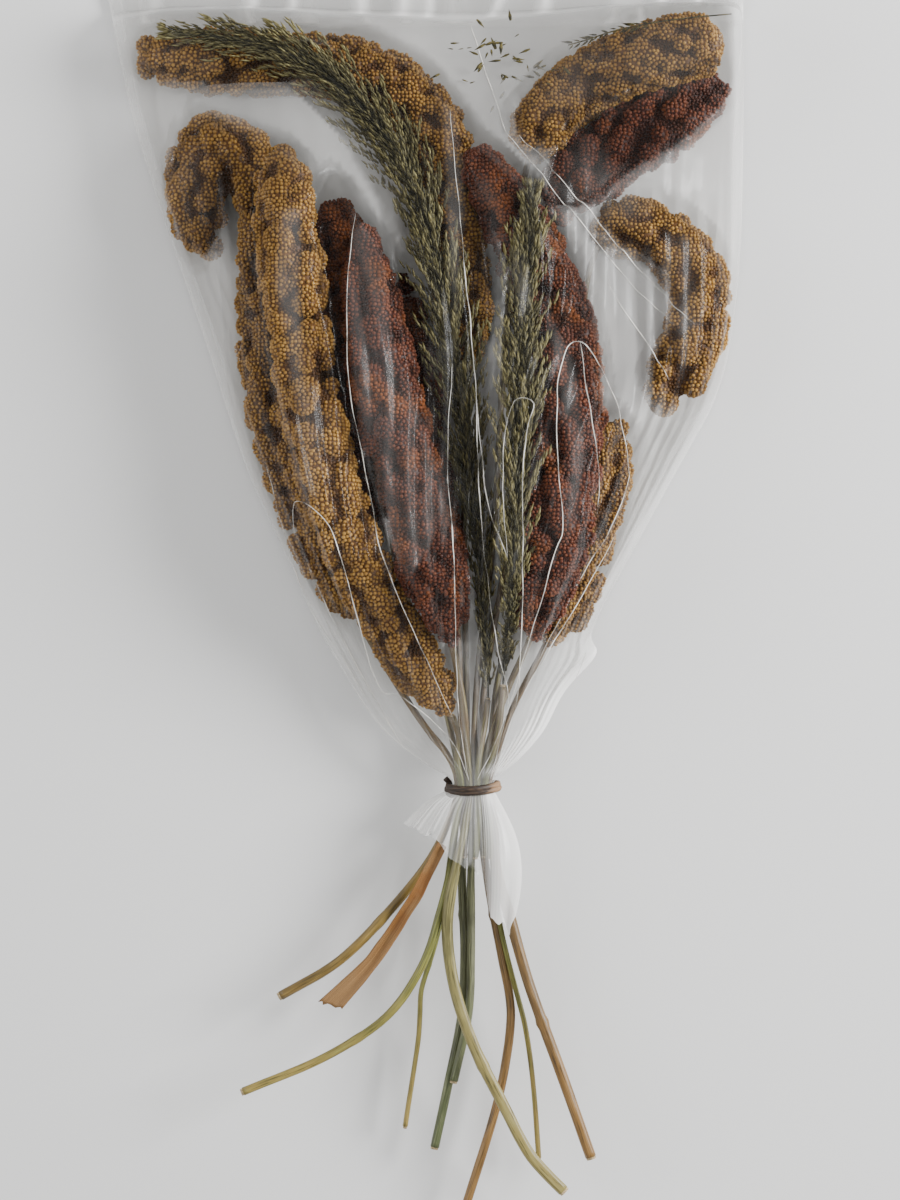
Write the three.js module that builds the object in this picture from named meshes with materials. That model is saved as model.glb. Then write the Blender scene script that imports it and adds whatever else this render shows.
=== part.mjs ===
// A bundle of dried millet heads and grass plumes in a clear bag that is tied round its neck,
// lying on the bag's back film. Millimetres, +Z up. X runs across the bag and Y along it, from the
// cut ends of the stems to the welded end of the bag.
//
// Routes are drawn from the middle of the neck, seen from above. Their heights are worked out:
// each plant is laid on the film and on the plants already there, and the front film lies on top.

import * as THREE from 'three';

// ---- Driving sizes ----

const bag = {
  width: 305,        // of the flat bag
  length: 457,       // of the flat bag, open end to header
  tail: 71,          // length below the neck, at its longest
  header: 18,        // strip beyond the weld that closes the end
  film: 0.4,
  weldGap: 0.3,      // between the two films along their welds
  edgeHeight: 3,     // of the side welds above the surface
  slack: 2,          // least rise of the front film over its welds
  belly: 12,         // how far the back film would hang with no surface under it
  foot: 72,          // from the neck to where the back film lies on the surface
  gathered: 110,     // from the neck to where the side welds lie on it
  looseness: 2,      // front film to what is under it
  sideRoom: 4,       // heads to the welds
  drop: 3,           // the front film comes down to its weld within this length
};

const stem = {
  radius: 1.6,       // where it passes the neck
  reach: 201,        // neck to the furthest cut end
  gap: 0.4,          // between neighbours, and stem to head
  sides: 6,
  ringStep: 11,
  thickening: 60,    // from the neck to where a stem has its cut end's radius
};

const neck = {
  height: 22,        // of its middle above the surface
  flatness: 0.72,    // height of its oval over its width
  band: 3,           // straight run of the films through the tie, each way
  length: 12,        // where the stems have fanned out, each way
  fan: 1.4,          // their spacing there over their spacing in the tie
};

const tie = { radius: 1.2, gap: 0.3, turn: 22, sides: 8 };

// baseShare and tipShare: the parts of a head's length over which its ends round off
const golden = { radius: 14.5, baseShare: 0.16, tipShare: 0.1, lobes: 9, lobeDepth: 0.07 };
const red = { radius: 14.5, baseShare: 0.22, tipShare: 0.34, lobes: 7, lobeDepth: 0.04 };
const slimRed = { radius: 9.5, baseShare: 0.25, tipShare: 0.5, lobes: 6, lobeDepth: 0.04 };
const plume = {
  radius: 13, baseShare: 0.6, slimBase: 2, tipShare: 0.4, lobes: 3, lobeDepth: 0.03, flatness: 0.52,
};
const slimPlume = { ...plume, radius: 10 };

const head = { gap: 0.8, sides: 8, rings: 14 };

const sheath = { width: 6, thickness: 0.9, fold: 0.35, steps: 12 };

const sprig = { radius: 0.8, steps: 8 };

// The routes are drawn on a bag of this size. Another bag spreads or draws in what it holds.
const drawn = { width: 305, reach: 386, stemReach: 201 };

const spread = bag.width / drawn.width;
const reach = bag.length - bag.tail;
const stretch = reach / drawn.reach;
const stemStretch = stem.reach / drawn.stemReach;

// ---- Finishes ----

const colours = {
  goldenHead: 0xa8824f,
  redHead: 0x7a3d2b,
  plume: 0x7b7d5c,
  oliveStem: 0x7b6b33,
  greenStem: 0x6d7a3a,
  paleStem: 0xa3a55f,
  greyStem: 0x70704c,
  tanStem: 0xa5834f,
  sheath: 0xb5773c,
  film: 0xeef1f1,
  tie: 0x3b2b21,
};

function dry(colour) {
  return new THREE.MeshStandardMaterial({ color: colour, roughness: 0.85, metalness: 0 });
}

const filmMaterial = new THREE.MeshStandardMaterial({
  color: colours.film, roughness: 0.12, metalness: 0, transparent: true, opacity: 0.35,
});

const tieMaterial = new THREE.MeshStandardMaterial({ color: colours.tie, roughness: 0.5, metalness: 0 });

// ---- The neck: stems pass it in three rows of slots ----

const pitch = 2 * stem.radius + stem.gap;
const rowRise = pitch * Math.sin(Math.PI / 3);

const neckInner = { half: 2 * pitch + stem.radius + 2 * stem.gap };
neckInner.rise = neckInner.half * neck.flatness;

const neckOuter = { half: neckInner.half + bag.film, rise: neckInner.rise + bag.film };

// row -1 and 1 hold 4 stems and row 0 holds 5, numbered from the left
function slotAt(row, column) {
  const inRow = row === 0 ? 5 : 4;
  return new THREE.Vector3((column - (inRow + 1) / 2) * pitch, 0, neck.height + row * rowRise);
}

// ---- The plants, in the order they are laid ----
// slot: row and column in the neck
// cut: route below the neck, from the neck to the cut end, whose height is endHeight
// lead: route from the neck to the head; spine: route of the head, from base to tip

const shortCut = 32;

const plants = [
  { name: 'golden_head_1', stem: 'millet_stem_1', kind: golden, slot: [-1, 2], colour: colours.greyStem,
    cut: [[-5, -39], [-4, -77], [-5, -105], [-12, -142], [-18, -170]], endHeight: 16,
    lead: [[-3, 50], [-4, 120]],
    spine: [[-3, 196], [-8, 262], [-19, 312], [-50, 336], [-105, 341], [-160, 344]] },
  { name: 'red_head_1', stem: 'millet_stem_2', kind: red, slot: [-1, 1], colour: colours.greenStem,
    cut: [[-16, -67], [-25, -100], [-25, -112], [-32, -161]], endHeight: 12, growth: 0.8,
    lead: [[-14, 40], [-32, 90]],
    spine: [[-42, 125], [-54, 182], [-58, 229], [-66, 282]] },
  { name: 'red_head_2', stem: 'millet_stem_3', kind: red, slot: [-1, 3], colour: colours.tanStem,
    cut: [[9, -55], [14, -81], [18, -105], [16, -128], [11, -152], [-4, -201]], endHeight: 14,
    lead: [[6, 50], [20, 130], [28, 210]],
    spine: [[40, 270], [50, 287], [68, 301], [93, 317], [118, 333]] },
  { name: 'golden_head_2', stem: 'millet_stem_4', kind: golden, slot: [-1, 4], colour: colours.greenStem,
    cut: [[12, -60], [19, -91], [24, -110], [27, -128], [29, -147], [31, -175]], endHeight: 17,
    growth: 0.8,
    lead: [[12, 50], [32, 120], [50, 190], [54, 236]],
    spine: [[60, 256], [74, 264], [92, 257], [104, 241], [107, 219], [100, 199], [87, 182]] },
  { name: 'golden_head_3', stem: 'millet_stem_5', kind: golden, slot: [0, 1], colour: colours.oliveStem,
    cut: [[-20, -33], [-37, -55], [-63, -81], [-90, -97]], endHeight: 26, growth: 1.12,
    lead: [[-24, 30]],
    spine: [[-54, 78], [-80, 135], [-95, 190], [-96, 240], [-100, 285], [-114, 305], [-130, 292], [-132, 268],
      [-125, 248]] },
  { name: 'red_head_3', stem: 'millet_stem_6', kind: slimRed, slot: [0, 2], colour: colours.greyStem,
    cut: [[-4, -shortCut]], endHeight: 22,
    lead: [[-6, 45]],
    spine: [[-9, 92], [-17, 135], [-21, 182], [-34, 246]] },
  { name: 'golden_head_4', stem: 'millet_stem_7', kind: golden, slot: [0, 3], colour: colours.greyStem,
    cut: [[-1, -39], [-1, -77], [-2, -105], [-9, -138]], endHeight: 20,
    lead: [[2, 50], [10, 120], [14, 190], [20, 260]],
    spine: [[27, 298], [37, 317], [56, 332], [83, 341], [116, 347]] },
  { name: 'golden_head_5', stem: 'millet_stem_8', kind: golden, slot: [0, 5], colour: colours.tanStem,
    cut: [[11, -37], [18, -63], [26, -91], [43, -138], [55, -172]], endHeight: 27, growth: 1.38,
    lead: [[18, 35]],
    spine: [[36, 70], [53, 118], [60, 148], [58, 174]] },
  { name: 'red_head_4', stem: 'millet_stem_9', kind: red, slot: [0, 4], colour: colours.greyStem,
    cut: [[5, -shortCut]], endHeight: 22,
    lead: [[12, 35]],
    spine: [[27, 72], [39, 132], [44, 182], [36, 229], [14, 274], [-5, 302]] },
  { name: 'golden_head_6', stem: 'millet_stem_10', kind: golden, slot: [1, 1], colour: colours.greenStem,
    cut: [[-11, -40], [-16, -60], [-23, -81], [-39, -105], [-67, -124], [-107, -141]], endHeight: 30,
    lead: [[-6, 20]],
    spine: [[-10, 34], [-34, 70], [-58, 116], [-73, 168], [-81, 215], [-86, 262], [-88, 296]] },
  { name: 'red_head_5', stem: 'millet_stem_11', kind: red, slot: [1, 2], colour: colours.paleStem,
    cut: [[-8, -37], [-12, -63], [-9, -91], [0, -119], [14, -147], [27, -171], [42, -187]], endHeight: 30,
    growth: 1.2,
    lead: [[-4, 35]],
    spine: [[-10, 68], [-24, 122], [-37, 172], [-46, 215], [-51, 262]] },
  { name: 'grass_plume_1', stem: 'plume_stem_1', kind: plume, slot: [1, 3], colour: colours.paleStem,
    cut: [[1, -shortCut]], endHeight: 27, growth: 0.75,
    lead: [[4, 22]],
    spine: [[7, 42], [3, 107], [-6, 182], [-16, 238], [-30, 285], [-53, 318], [-85, 340], [-128, 350],
      [-143, 352]] },
  { name: 'grass_plume_2', stem: 'plume_stem_2', kind: slimPlume, slot: [1, 4], colour: colours.paleStem,
    cut: [[8, -shortCut]], endHeight: 27, growth: 0.75,
    lead: [[11, 22]],
    spine: [[14, 48], [18, 107], [21, 158], [23, 205], [25, 250], [27, 278]] },
];

const sheathRoute = [[-21, -39], [-33, -60], [-47, -81], [-66, -101]];
const sprigRoute = [[44, 345], [69, 350], [97, 354], [118, 356]];

// ---- The bag's outline and sections ----

// [distance from the neck, distance from the middle line]
const leftEdge = [[18, 33], [64, 67], [107, 88], [149, 107], [210, 127], [266, 146], [318, 162], [386, 176]];
const rightEdge = [[18, 27], [52, 46], [83, 61], [116, 79], [149, 97], [187, 117], [234, 126], [299, 129],
  [386, 129]];

function edgeCurve(edge) {
  const stations = [0, neck.band, ...edge.map(([along]) => along * stretch)];
  const offsets = [neckOuter.half, neckOuter.half, ...edge.map(([, across]) => across * spread)];
  return new THREE.CubicInterpolant(stations, offsets, 1);
}

const leftCurve = edgeCurve(leftEdge);
const rightCurve = edgeCurve(rightEdge);

// the tail flares round the stems: half its width and height at its open end, how much longer it is on
// the right than in the middle, and how far its middle drifts
const tail = {
  half: 5 * pitch + 8,
  rise: rowRise + 3 * stem.radius + 3,
  lean: 21,
  drift: -3,
};

const { lerp, smoothstep } = THREE.MathUtils;

const films = bag.film + bag.weldGap / 2;
const weld = reach - bag.header;

// the bag at a distance along it: middle line and half width, height of its side edges, how far the
// films stand above and below those edges, and the lowest that the back film lies
function sectionAt(y) {
  if (y < 0) {
    const share = Math.max(0, (-y - neck.band) / (bag.tail - neck.band)) ** 0.7;
    const rise = lerp(neckOuter.rise, tail.rise, share);
    return {
      middle: lerp(0, tail.drift, share),
      half: lerp(neckOuter.half, tail.half, share),
      edge: neck.height, crown: rise, belly: rise - films, floor: 0,
    };
  }
  const left = leftCurve.evaluate(y)[0];
  const right = rightCurve.evaluate(y)[0];
  const atNeck = 1 - smoothstep(y, neck.band, bag.gathered * stretch);
  const closed = smoothstep(y, weld - bag.belly, weld);
  return {
    middle: (right - left) / 2,
    half: (right + left) / 2,
    edge: lerp(bag.edgeHeight, neck.height, atNeck),
    crown: lerp(lerp(bag.slack, bag.film, closed), neckOuter.rise, atNeck),
    belly: lerp(lerp(bag.belly, 0, closed), neckOuter.rise - films, atNeck),
    floor: lerp(neck.height - neckOuter.rise, 0, smoothstep(y, 2 * neck.band, bag.foot * stretch)),
  };
}

function acrossFilm(section, x) {
  return THREE.MathUtils.clamp((x - section.middle) / section.half, -1, 1);
}

function bulge(u) {
  return Math.sqrt(Math.max(0, 1 - u * u));
}

function backFilmTop(section, u) {
  const outer = Math.max(section.floor, section.edge - bag.weldGap / 2 - bag.film - section.belly * bulge(u));
  return outer + bag.film;
}

// ---- Laying the plants ----

const sampleStep = 1.2;
const settling = 9;          // length, each way, over which a plant evens out what it lies on
const heldAtNeck = 6;        // a stem is at its slot's height this close to the neck
const freeOfNeck = 22;       // and lies freely this far from it

const laid = [];             // balls along everything laid so far: { x, y, z, radius }

function restingHeight(x, y, radius, gap) {
  let height = -Infinity;
  for (const ball of laid) {
    const touch = radius + ball.radius + gap;
    const dx = x - ball.x;
    const dy = y - ball.y;
    const room = touch * touch - dx * dx - dy * dy;
    if (room > 0) height = Math.max(height, ball.z + Math.sqrt(room));
  }
  return height;
}

function filmHeight(x, y, radius, gap) {
  const section = sectionAt(y);
  const foot = backFilmTop(section, acrossFilm(section, x));
  return foot + gap + radius;
}

function overWindow(values, step, combine) {
  const half = Math.round(settling / step);
  return values.map((_, i) => combine(values.slice(Math.max(0, i - half), i + half + 1)));
}

function evened(heights, step) {
  const raised = overWindow(heights, step, (part) => Math.max(...part));
  return overWindow(raised, step, (part) => part.reduce((sum, value) => sum + value, 0) / part.length);
}

function taper(kind, share) {
  if (share < kind.baseShare) return bulge(1 - share / kind.baseShare) ** (kind.slimBase ?? 1);
  if (share > 1 - kind.tipShare) return bulge((share - 1 + kind.tipShare) / kind.tipShare);
  return 1;
}

function headRadius(kind, share) {
  const lobe = 1 + kind.lobeDepth * Math.sin(2 * Math.PI * kind.lobes * share);
  return kind.radius * taper(kind, share) * lobe;
}

function routePoints(plant) {
  const slot = slotAt(...plant.slot);
  const below = plant.cut.map(([x, y]) => new THREE.Vector3(x, y * stemStretch, 0)).reverse();
  const through = [-1, 0, 1].map((side) => (
    new THREE.Vector3(slot.x * (side === 0 ? 1 : neck.fan), side * neck.length, 0)));
  const above = [...plant.lead, ...plant.spine].map(([x, y]) => new THREE.Vector3(x * spread, y * stretch, 0));
  return [...below, ...through, ...above];
}

function sampled(points, step) {
  const curve = new THREE.CatmullRomCurve3(points, false, 'centripetal');
  curve.arcLengthDivisions = 800;
  return curve.getSpacedPoints(Math.ceil(curve.getLength() / step));
}

// moves a point of a head into the bag, where the films leave room for the head round it
function keepInside(point, radius) {
  const room = radius + bag.sideRoom;
  point.y = Math.min(point.y, weld - room);
  const section = sectionAt(point.y);
  const free = section.half - room;
  point.x = THREE.MathUtils.clamp(point.x, section.middle - free, section.middle + free);
}

// gives every point of a plant's route its height, and adds the plant to what is laid
function lay(plant) {
  const slot = slotAt(...plant.slot);
  const route = sampled(routePoints(plant), sampleStep);
  const [baseX, baseY] = plant.spine[0];
  const base = new THREE.Vector3(baseX * spread, baseY * stretch, 0);
  const gaps = route.map((point) => point.distanceTo(base));
  const baseIndex = gaps.indexOf(Math.min(...gaps));
  const cutY = route[0].y;
  const flatness = plant.kind.flatness ?? 1;

  const balls = route.map((point, i) => {
    if (i <= baseIndex) return { radius: stemRadius(plant, point.y), side: 0 };
    const share = (i - baseIndex) / (route.length - 1 - baseIndex);
    const width = headRadius(plant.kind, share);
    keepInside(point, width);
    return { radius: Math.max(width * flatness, 0.5), side: width * (1 - flatness) };
  });

  const wanted = route.map((point, i) => {
    const { radius, side } = balls[i];
    const gap = i <= baseIndex ? stem.gap : head.gap;
    const sides = side > 0 ? [-side, 0, side] : [0];
    const onOthers = Math.max(...sides.map((offset) => restingHeight(point.x + offset, point.y, radius, gap)));
    if (point.y > neck.length) return Math.max(onOthers, filmHeight(point.x, point.y, radius, gap));
    const out = THREE.MathUtils.clamp((-neck.length - point.y) / (-neck.length - cutY), 0, 1);
    return Math.max(onOthers, lerp(slot.z, plant.endHeight, out));
  });

  const heights = evened(wanted, sampleStep);
  route.forEach((point, i) => {
    const free = smoothstep(Math.abs(point.y), heldAtNeck, freeOfNeck);
    point.z = lerp(slot.z, heights[i], free);
    const { radius, side } = balls[i];
    const sides = side > 0 ? [-side, 0, side] : [0];
    sides.forEach((offset) => laid.push({ x: point.x + offset, y: point.y, z: point.z, radius }));
  });
  return { route, baseIndex };
}

// growth: a stem's radius at its cut end over its radius in the neck
function stemRadius(plant, y) {
  const grown = smoothstep(-y, neck.length, stem.thickening);
  return stem.radius * lerp(1, plant.growth ?? 1, grown);
}

// lays a loose strand on the pile, at or above a height
function layStrand(points, radius, lowest) {
  const route = sampled(points, sampleStep);
  const wanted = route.map((point) => Math.max(lowest, restingHeight(point.x, point.y, radius, head.gap)));
  const heights = evened(wanted, sampleStep);
  route.forEach((point, i) => {
    point.z = heights[i];
    laid.push({ x: point.x, y: point.y, z: point.z, radius });
  });
  return route;
}

// ---- Bending a straight shape along a route ----

const tangentReach = 4;      // samples, each way, that give the direction of a route

function frameOn(route, share) {
  const place = THREE.MathUtils.clamp(share, 0, 1) * (route.length - 1);
  const i = Math.min(Math.floor(place), route.length - 2);
  const centre = route[i].clone().lerp(route[i + 1], place - i);
  const ahead = route[Math.min(i + 1 + tangentReach, route.length - 1)];
  const behind = route[Math.max(i - tangentReach, 0)];
  const tangent = ahead.clone().sub(behind).normalize();
  const side = tangent.clone().cross(new THREE.Vector3(0, 0, 1)).normalize();
  return { centre, side, up: side.clone().cross(tangent) };
}

// the shape stands on its Y axis from 0 to 1; X goes to the side and Z upwards
function bend(geometry, route) {
  const position = geometry.attributes.position;
  for (let i = 0; i < position.count; i++) {
    const { centre, side, up } = frameOn(route, position.getY(i));
    centre.addScaledVector(side, position.getX(i)).addScaledVector(up, position.getZ(i));
    position.setXYZ(i, centre.x, centre.y, centre.z);
  }
  return geometry;
}

function headGeometry(kind, route) {
  const profile = [];
  for (let ring = 0; ring <= head.rings; ring++) {
    const share = (1 - Math.cos(Math.PI * ring / head.rings)) / 2;
    const closedEnd = ring === 0 || ring === head.rings;
    profile.push(new THREE.Vector2(closedEnd ? 0 : headRadius(kind, share), share));
  }
  const geometry = new THREE.LatheGeometry(profile, head.sides);
  geometry.scale(1, 1, kind.flatness ?? 1);
  return bend(geometry, route);
}

function stemGeometry(plant, route) {
  const length = (route.length - 1) * sampleStep;
  const rings = Math.ceil(length / stem.ringStep);
  const profile = [new THREE.Vector2(0, 0)];
  for (let ring = 0; ring <= rings; ring++) {
    const share = ring / rings;
    profile.push(new THREE.Vector2(stemRadius(plant, frameOn(route, share).centre.y), share));
  }
  profile.push(new THREE.Vector2(0, 1));
  return bend(new THREE.LatheGeometry(profile, stem.sides), route);
}

function sheathGeometry(route) {
  const geometry = new THREE.BoxGeometry(sheath.width, 1, sheath.thickness, 2, sheath.steps, 1);
  geometry.translate(0, 0.5, 0);
  const position = geometry.attributes.position;
  for (let i = 0; i < position.count; i++) {
    position.setZ(i, position.getZ(i) + Math.abs(position.getX(i)) * sheath.fold);
  }
  return bend(geometry, route);
}

function sprigGeometry(route) {
  const profile = [new THREE.Vector2(0, 0)];
  for (let ring = 0; ring <= sprig.steps; ring++) {
    profile.push(new THREE.Vector2(sprig.radius, ring / sprig.steps));
  }
  profile.push(new THREE.Vector2(0, 1));
  return bend(new THREE.LatheGeometry(profile, stem.sides), route);
}

// ---- The films ----

const columns = 20;
const bodyRows = 20;

function filmStations() {
  const tailRows = [-1, -0.66, -0.33].map((share) => share * bag.tail);
  const neckRows = [-neck.band, 0, neck.band];
  const body = [];
  for (let row = 1; row <= bodyRows; row++) {
    body.push(lerp(neck.band, weld - bag.drop, (row / bodyRows) ** 1.2));
  }
  return [...tailRows, ...neckRows, 2 * neck.band, ...body, weld, (weld + reach) / 2, reach];
}

const stations = filmStations();
const rows = stations.length - 1;

function columnShare(column) {
  return Math.sin((column / columns - 0.5) * Math.PI);
}

// the tail's end is cut at a slant, longest on the right
function filmPlace(column, row) {
  const u = columnShare(column);
  const station = stations[row];
  const section = sectionAt(station);
  const slant = (bag.tail - tail.lean + tail.lean * u) / bag.tail;
  const y = station < 0 ? station * slant : station;
  return { u, section, x: section.middle + section.half * u, y };
}

// splits the squares of a box grid's underside along the same diagonals as its top's
function matchUnderside(geometry) {
  const index = geometry.index.array;
  const { start, count } = geometry.groups[5];
  for (let i = start; i < start + count; i += 6) {
    const [a, b, d, , c] = index.slice(i, i + 6);
    index.set([a, b, c, a, c, d], i);
  }
}

function filmSheet(heightAt) {
  const geometry = new THREE.BoxGeometry(2, 2, 1, columns, rows, 1);
  matchUnderside(geometry);
  const position = geometry.attributes.position;
  for (let i = 0; i < position.count; i++) {
    const column = Math.round((position.getX(i) + 1) / 2 * columns);
    const row = Math.round((position.getY(i) + 1) / 2 * rows);
    const { x, y } = filmPlace(column, row);
    const lower = heightAt(column, row);
    position.setXYZ(i, x, y, position.getZ(i) > 0 ? lower + bag.film : lower);
  }
  return geometry;
}

function backFilmHeight(column, row) {
  const { u, section } = filmPlace(column, row);
  return backFilmTop(section, u) - bag.film;
}

const turns = 12;                              // points round each ball that the film clears
const ballRings = [0, 0.5, 0.8, 0.95, 1];      // and how far out they are

// heights of the front film's underside at its grid points, raised until it clears the pile
function draped() {
  const heights = [];
  for (let row = 0; row <= rows; row++) {
    const line = [];
    for (let column = 0; column <= columns; column++) {
      const { u, section } = filmPlace(column, row);
      line.push(section.edge + bag.weldGap / 2 + (section.crown - bag.film) * bulge(u));
    }
    heights.push(line);
  }
  const lowest = heights.map((line) => [...line]);
  const firstFree = stations.findIndex((y) => y > neck.band);
  const lastFree = stations.findIndex((y) => y >= weld) - 1;
  const isFree = (column, row) => column > 0 && column < columns && row >= firstFree && row <= lastFree;

  function corners(x, y) {
    const row = stations.findIndex((station) => station > y) - 1;
    const section = sectionAt(y);
    const across = Math.asin(acrossFilm(section, x)) / Math.PI + 0.5;
    const column = Math.min(Math.floor(across * columns), columns - 1);
    return { row, column, along: (y - stations[row]) / (stations[row + 1] - stations[row]),
      over: across * columns - column };
  }

  // lifts the free corners of the cell over (x, y) until the film there is at the height
  function liftOver(x, y, height) {
    const { row, column, along, over } = corners(x, y);
    const low = lerp(heights[row][column], heights[row][column + 1], over);
    const high = lerp(heights[row + 1][column], heights[row + 1][column + 1], over);
    const lack = height - lerp(low, high, along);
    if (lack <= 0) return;
    for (const [dc, dr] of [[0, 0], [1, 0], [0, 1], [1, 1]]) {
      const line = heights[row + dr];
      const at = column + dc;
      if (isFree(at, row + dr)) line[at] = Math.max(line[at], Math.min(line[at] + lack, height));
    }
  }

  function raise() {
    for (const ball of laid) {
      for (let turn = 0; turn < turns; turn++) {
        const angle = turn * 2 * Math.PI / turns;
        for (const ring of ballRings) {
          const x = ball.x + ring * ball.radius * Math.cos(angle);
          const y = ball.y + ring * ball.radius * Math.sin(angle);
          if (y < neck.band || y > weld) continue;
          liftOver(x, y, ball.z + ball.radius * bulge(ring) + bag.looseness);
        }
      }
    }
  }

  function relax() {
    const before = heights.map((line) => [...line]);
    for (let row = firstFree; row <= lastFree; row++) {
      for (let column = 1; column < columns; column++) {
        const around = before[row][column - 1] + before[row][column + 1]
          + before[row - 1][column] + before[row + 1][column];
        heights[row][column] = Math.max(lowest[row][column], (before[row][column] + around / 4) / 2);
      }
    }
  }

  raise();
  for (let pass = 0; pass < 4; pass++) {
    relax();
    raise();
  }
  return heights;
}

// ---- Assembly ----

const group = new THREE.Group();

function add(name, geometry, material) {
  geometry.deleteAttribute('uv');
  geometry.computeVertexNormals();
  const mesh = new THREE.Mesh(geometry, material);
  mesh.name = name;
  group.add(mesh);
  return mesh;
}

for (const plant of plants) {
  const { route, baseIndex } = lay(plant);
  const stemEnd = baseIndex - Math.ceil(stem.gap / sampleStep);
  const isPlume = plant.kind.slimBase !== undefined;
  const isGolden = plant.kind === golden;
  const headColour = isPlume ? colours.plume : isGolden ? colours.goldenHead : colours.redHead;
  add(plant.name, headGeometry(plant.kind, route.slice(baseIndex)), dry(headColour));
  add(plant.stem, stemGeometry(plant, route.slice(0, stemEnd + 1)), dry(plant.colour));
}

const sheathPoints = sheathRoute.map(([x, y]) => new THREE.Vector3(x, y * stemStretch, 0));
add('leaf_sheath', sheathGeometry(layStrand(sheathPoints, sheath.width / 2, neck.height)), dry(colours.sheath));

const sprigPoints = sprigRoute.map(([x, y]) => new THREE.Vector3(x * spread, y * stretch, 0));
add('loose_sprig', sprigGeometry(layStrand(sprigPoints, sprig.radius, bag.edgeHeight)), dry(colours.plume));

const tieGeometry = new THREE.TorusGeometry(neckOuter.half, tie.radius, tie.sides, tie.turn);
const tiePosition = tieGeometry.attributes.position;
for (let i = 0; i < tiePosition.count; i++) {
  const around = new THREE.Vector2(tiePosition.getX(i), tiePosition.getY(i));
  const out = around.length() - neckOuter.half;
  around.normalize();
  const grown = tie.gap + tie.radius + out;
  tiePosition.setX(i, around.x * (neckOuter.half + grown));
  tiePosition.setY(i, around.y * (neckOuter.rise + grown));
}
const tieMesh = add('neck_tie', tieGeometry, tieMaterial);
tieMesh.rotation.x = Math.PI / 2;
tieMesh.position.z = neck.height;

add('bag_back_film', filmSheet(backFilmHeight), filmMaterial);
const frontHeights = draped();
add('bag_front_film', filmSheet((column, row) => frontHeights[row][column]), filmMaterial);

// The origin is under the middle of the whole bundle, on the surface that it lies on.
group.updateMatrixWorld(true);
const box = new THREE.Box3().setFromObject(group, true);
const middle = box.getCenter(new THREE.Vector3());
group.position.set(-middle.x, -middle.y, -box.min.z);

export default group;
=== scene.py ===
import math
import random

import bmesh
import bpy
import numpy as np
from bpy.props import FloatProperty, FloatVectorProperty, IntProperty, PointerProperty
from mathutils import Matrix, Vector, noise
from mathutils.bvhtree import BVHTree


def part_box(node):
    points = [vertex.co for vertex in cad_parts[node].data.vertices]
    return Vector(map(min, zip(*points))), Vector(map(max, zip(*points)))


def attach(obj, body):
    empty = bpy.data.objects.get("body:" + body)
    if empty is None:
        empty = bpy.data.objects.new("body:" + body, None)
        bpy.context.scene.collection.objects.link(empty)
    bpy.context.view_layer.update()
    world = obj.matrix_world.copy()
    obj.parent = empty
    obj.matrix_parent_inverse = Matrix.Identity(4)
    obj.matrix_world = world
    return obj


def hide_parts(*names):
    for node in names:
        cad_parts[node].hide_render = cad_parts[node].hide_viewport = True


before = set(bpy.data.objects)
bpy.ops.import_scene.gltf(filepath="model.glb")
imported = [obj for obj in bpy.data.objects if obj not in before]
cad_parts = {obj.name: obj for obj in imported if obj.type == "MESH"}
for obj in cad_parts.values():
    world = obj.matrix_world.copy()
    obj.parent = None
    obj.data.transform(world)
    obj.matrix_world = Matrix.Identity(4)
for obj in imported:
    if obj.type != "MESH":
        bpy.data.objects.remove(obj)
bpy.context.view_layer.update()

bl_info = {
    "name": "Bundle of Dried Millet",
    "version": (1, 0, 0),
    "blender": (4, 5, 0),
    "location": "3D View > Sidebar > Millet",
    "description": "Dried millet heads and grass plumes tied in a clear bag",
    "category": "Object",
}

MM = 0.001
UP = Vector((0, 0, 1))
DOWN = Vector((0, 0, -1))
TIE_LOW, TIE_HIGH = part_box("neck_tie")
TIE = (TIE_LOW + TIE_HIGH) / 2

# The noise that moves the creases starts from here, the same each time.
noise.seed_set(1)

# Turn from one ring of lobes to the next, in radians, and the radius of a head at which a ring has
# its full number of lobes.
LOBE_TURN = 2.4
FULL_RADIUS = 14.5 * MM

# The golden and red heads: lobe radius in millimetres, lobes round the stalk, how far lobes vary,
# and how much wider than tall a head is pressed.
GOLDEN_HEADS = {
    "golden_head_1": (4.8, 6, 0.3, 1.1),
    "golden_head_2": (6.4, 5, 0.35, 1.12),
    "golden_head_3": (6.2, 5, 0.40, 1.1),
    "golden_head_4": (4.4, 7, 0.25, 1.12),
    "golden_head_5": (5.8, 5, 0.35, 1.15),
    "golden_head_6": (6.6, 5, 0.45, 1.1),
}
RED_HEADS = {
    "red_head_1": (5.4, 6, 0.35, 1.15),
    "red_head_2": (5.0, 6, 0.3, 1.45),
    "red_head_3": (5.0, 5, 0.3, 1.2),
    "red_head_4": (5.6, 6, 0.35, 1.35),
    "red_head_5": (5.2, 6, 0.35, 1.22),
}
# How much broader than their CAD solids the plumes are, and their height as a share of that.
PLUME_SPREAD = {"grass_plume_1": 1.7, "grass_plume_2": 1.9}
PLUME_HEIGHT = 0.6
# How much wider than their CAD solids the free ends of some stems are pressed.
STEM_SPREAD = {"millet_stem_1": 1.4, "millet_stem_3": 1.4, "millet_stem_5": 1.25,
               "millet_stem_7": 1.3, "millet_stem_8": 1.25, "millet_stem_10": 1.2,
               "millet_stem_11": 1.4}
# The stems of each shade.
STEM_FINISHES = {
    "olive_stem": ("millet_stem_5",),
    "green_stem": ("millet_stem_10", "millet_stem_2", "millet_stem_4"),
    "pale_stem": ("millet_stem_11", "millet_stem_9"),
    "grey_stem": ("millet_stem_1", "millet_stem_7"),
    "tan_stem": ("millet_stem_3", "millet_stem_8", "millet_stem_6"),
}
PLUME_STEMS = ("plume_stem_1", "plume_stem_2")
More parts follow.
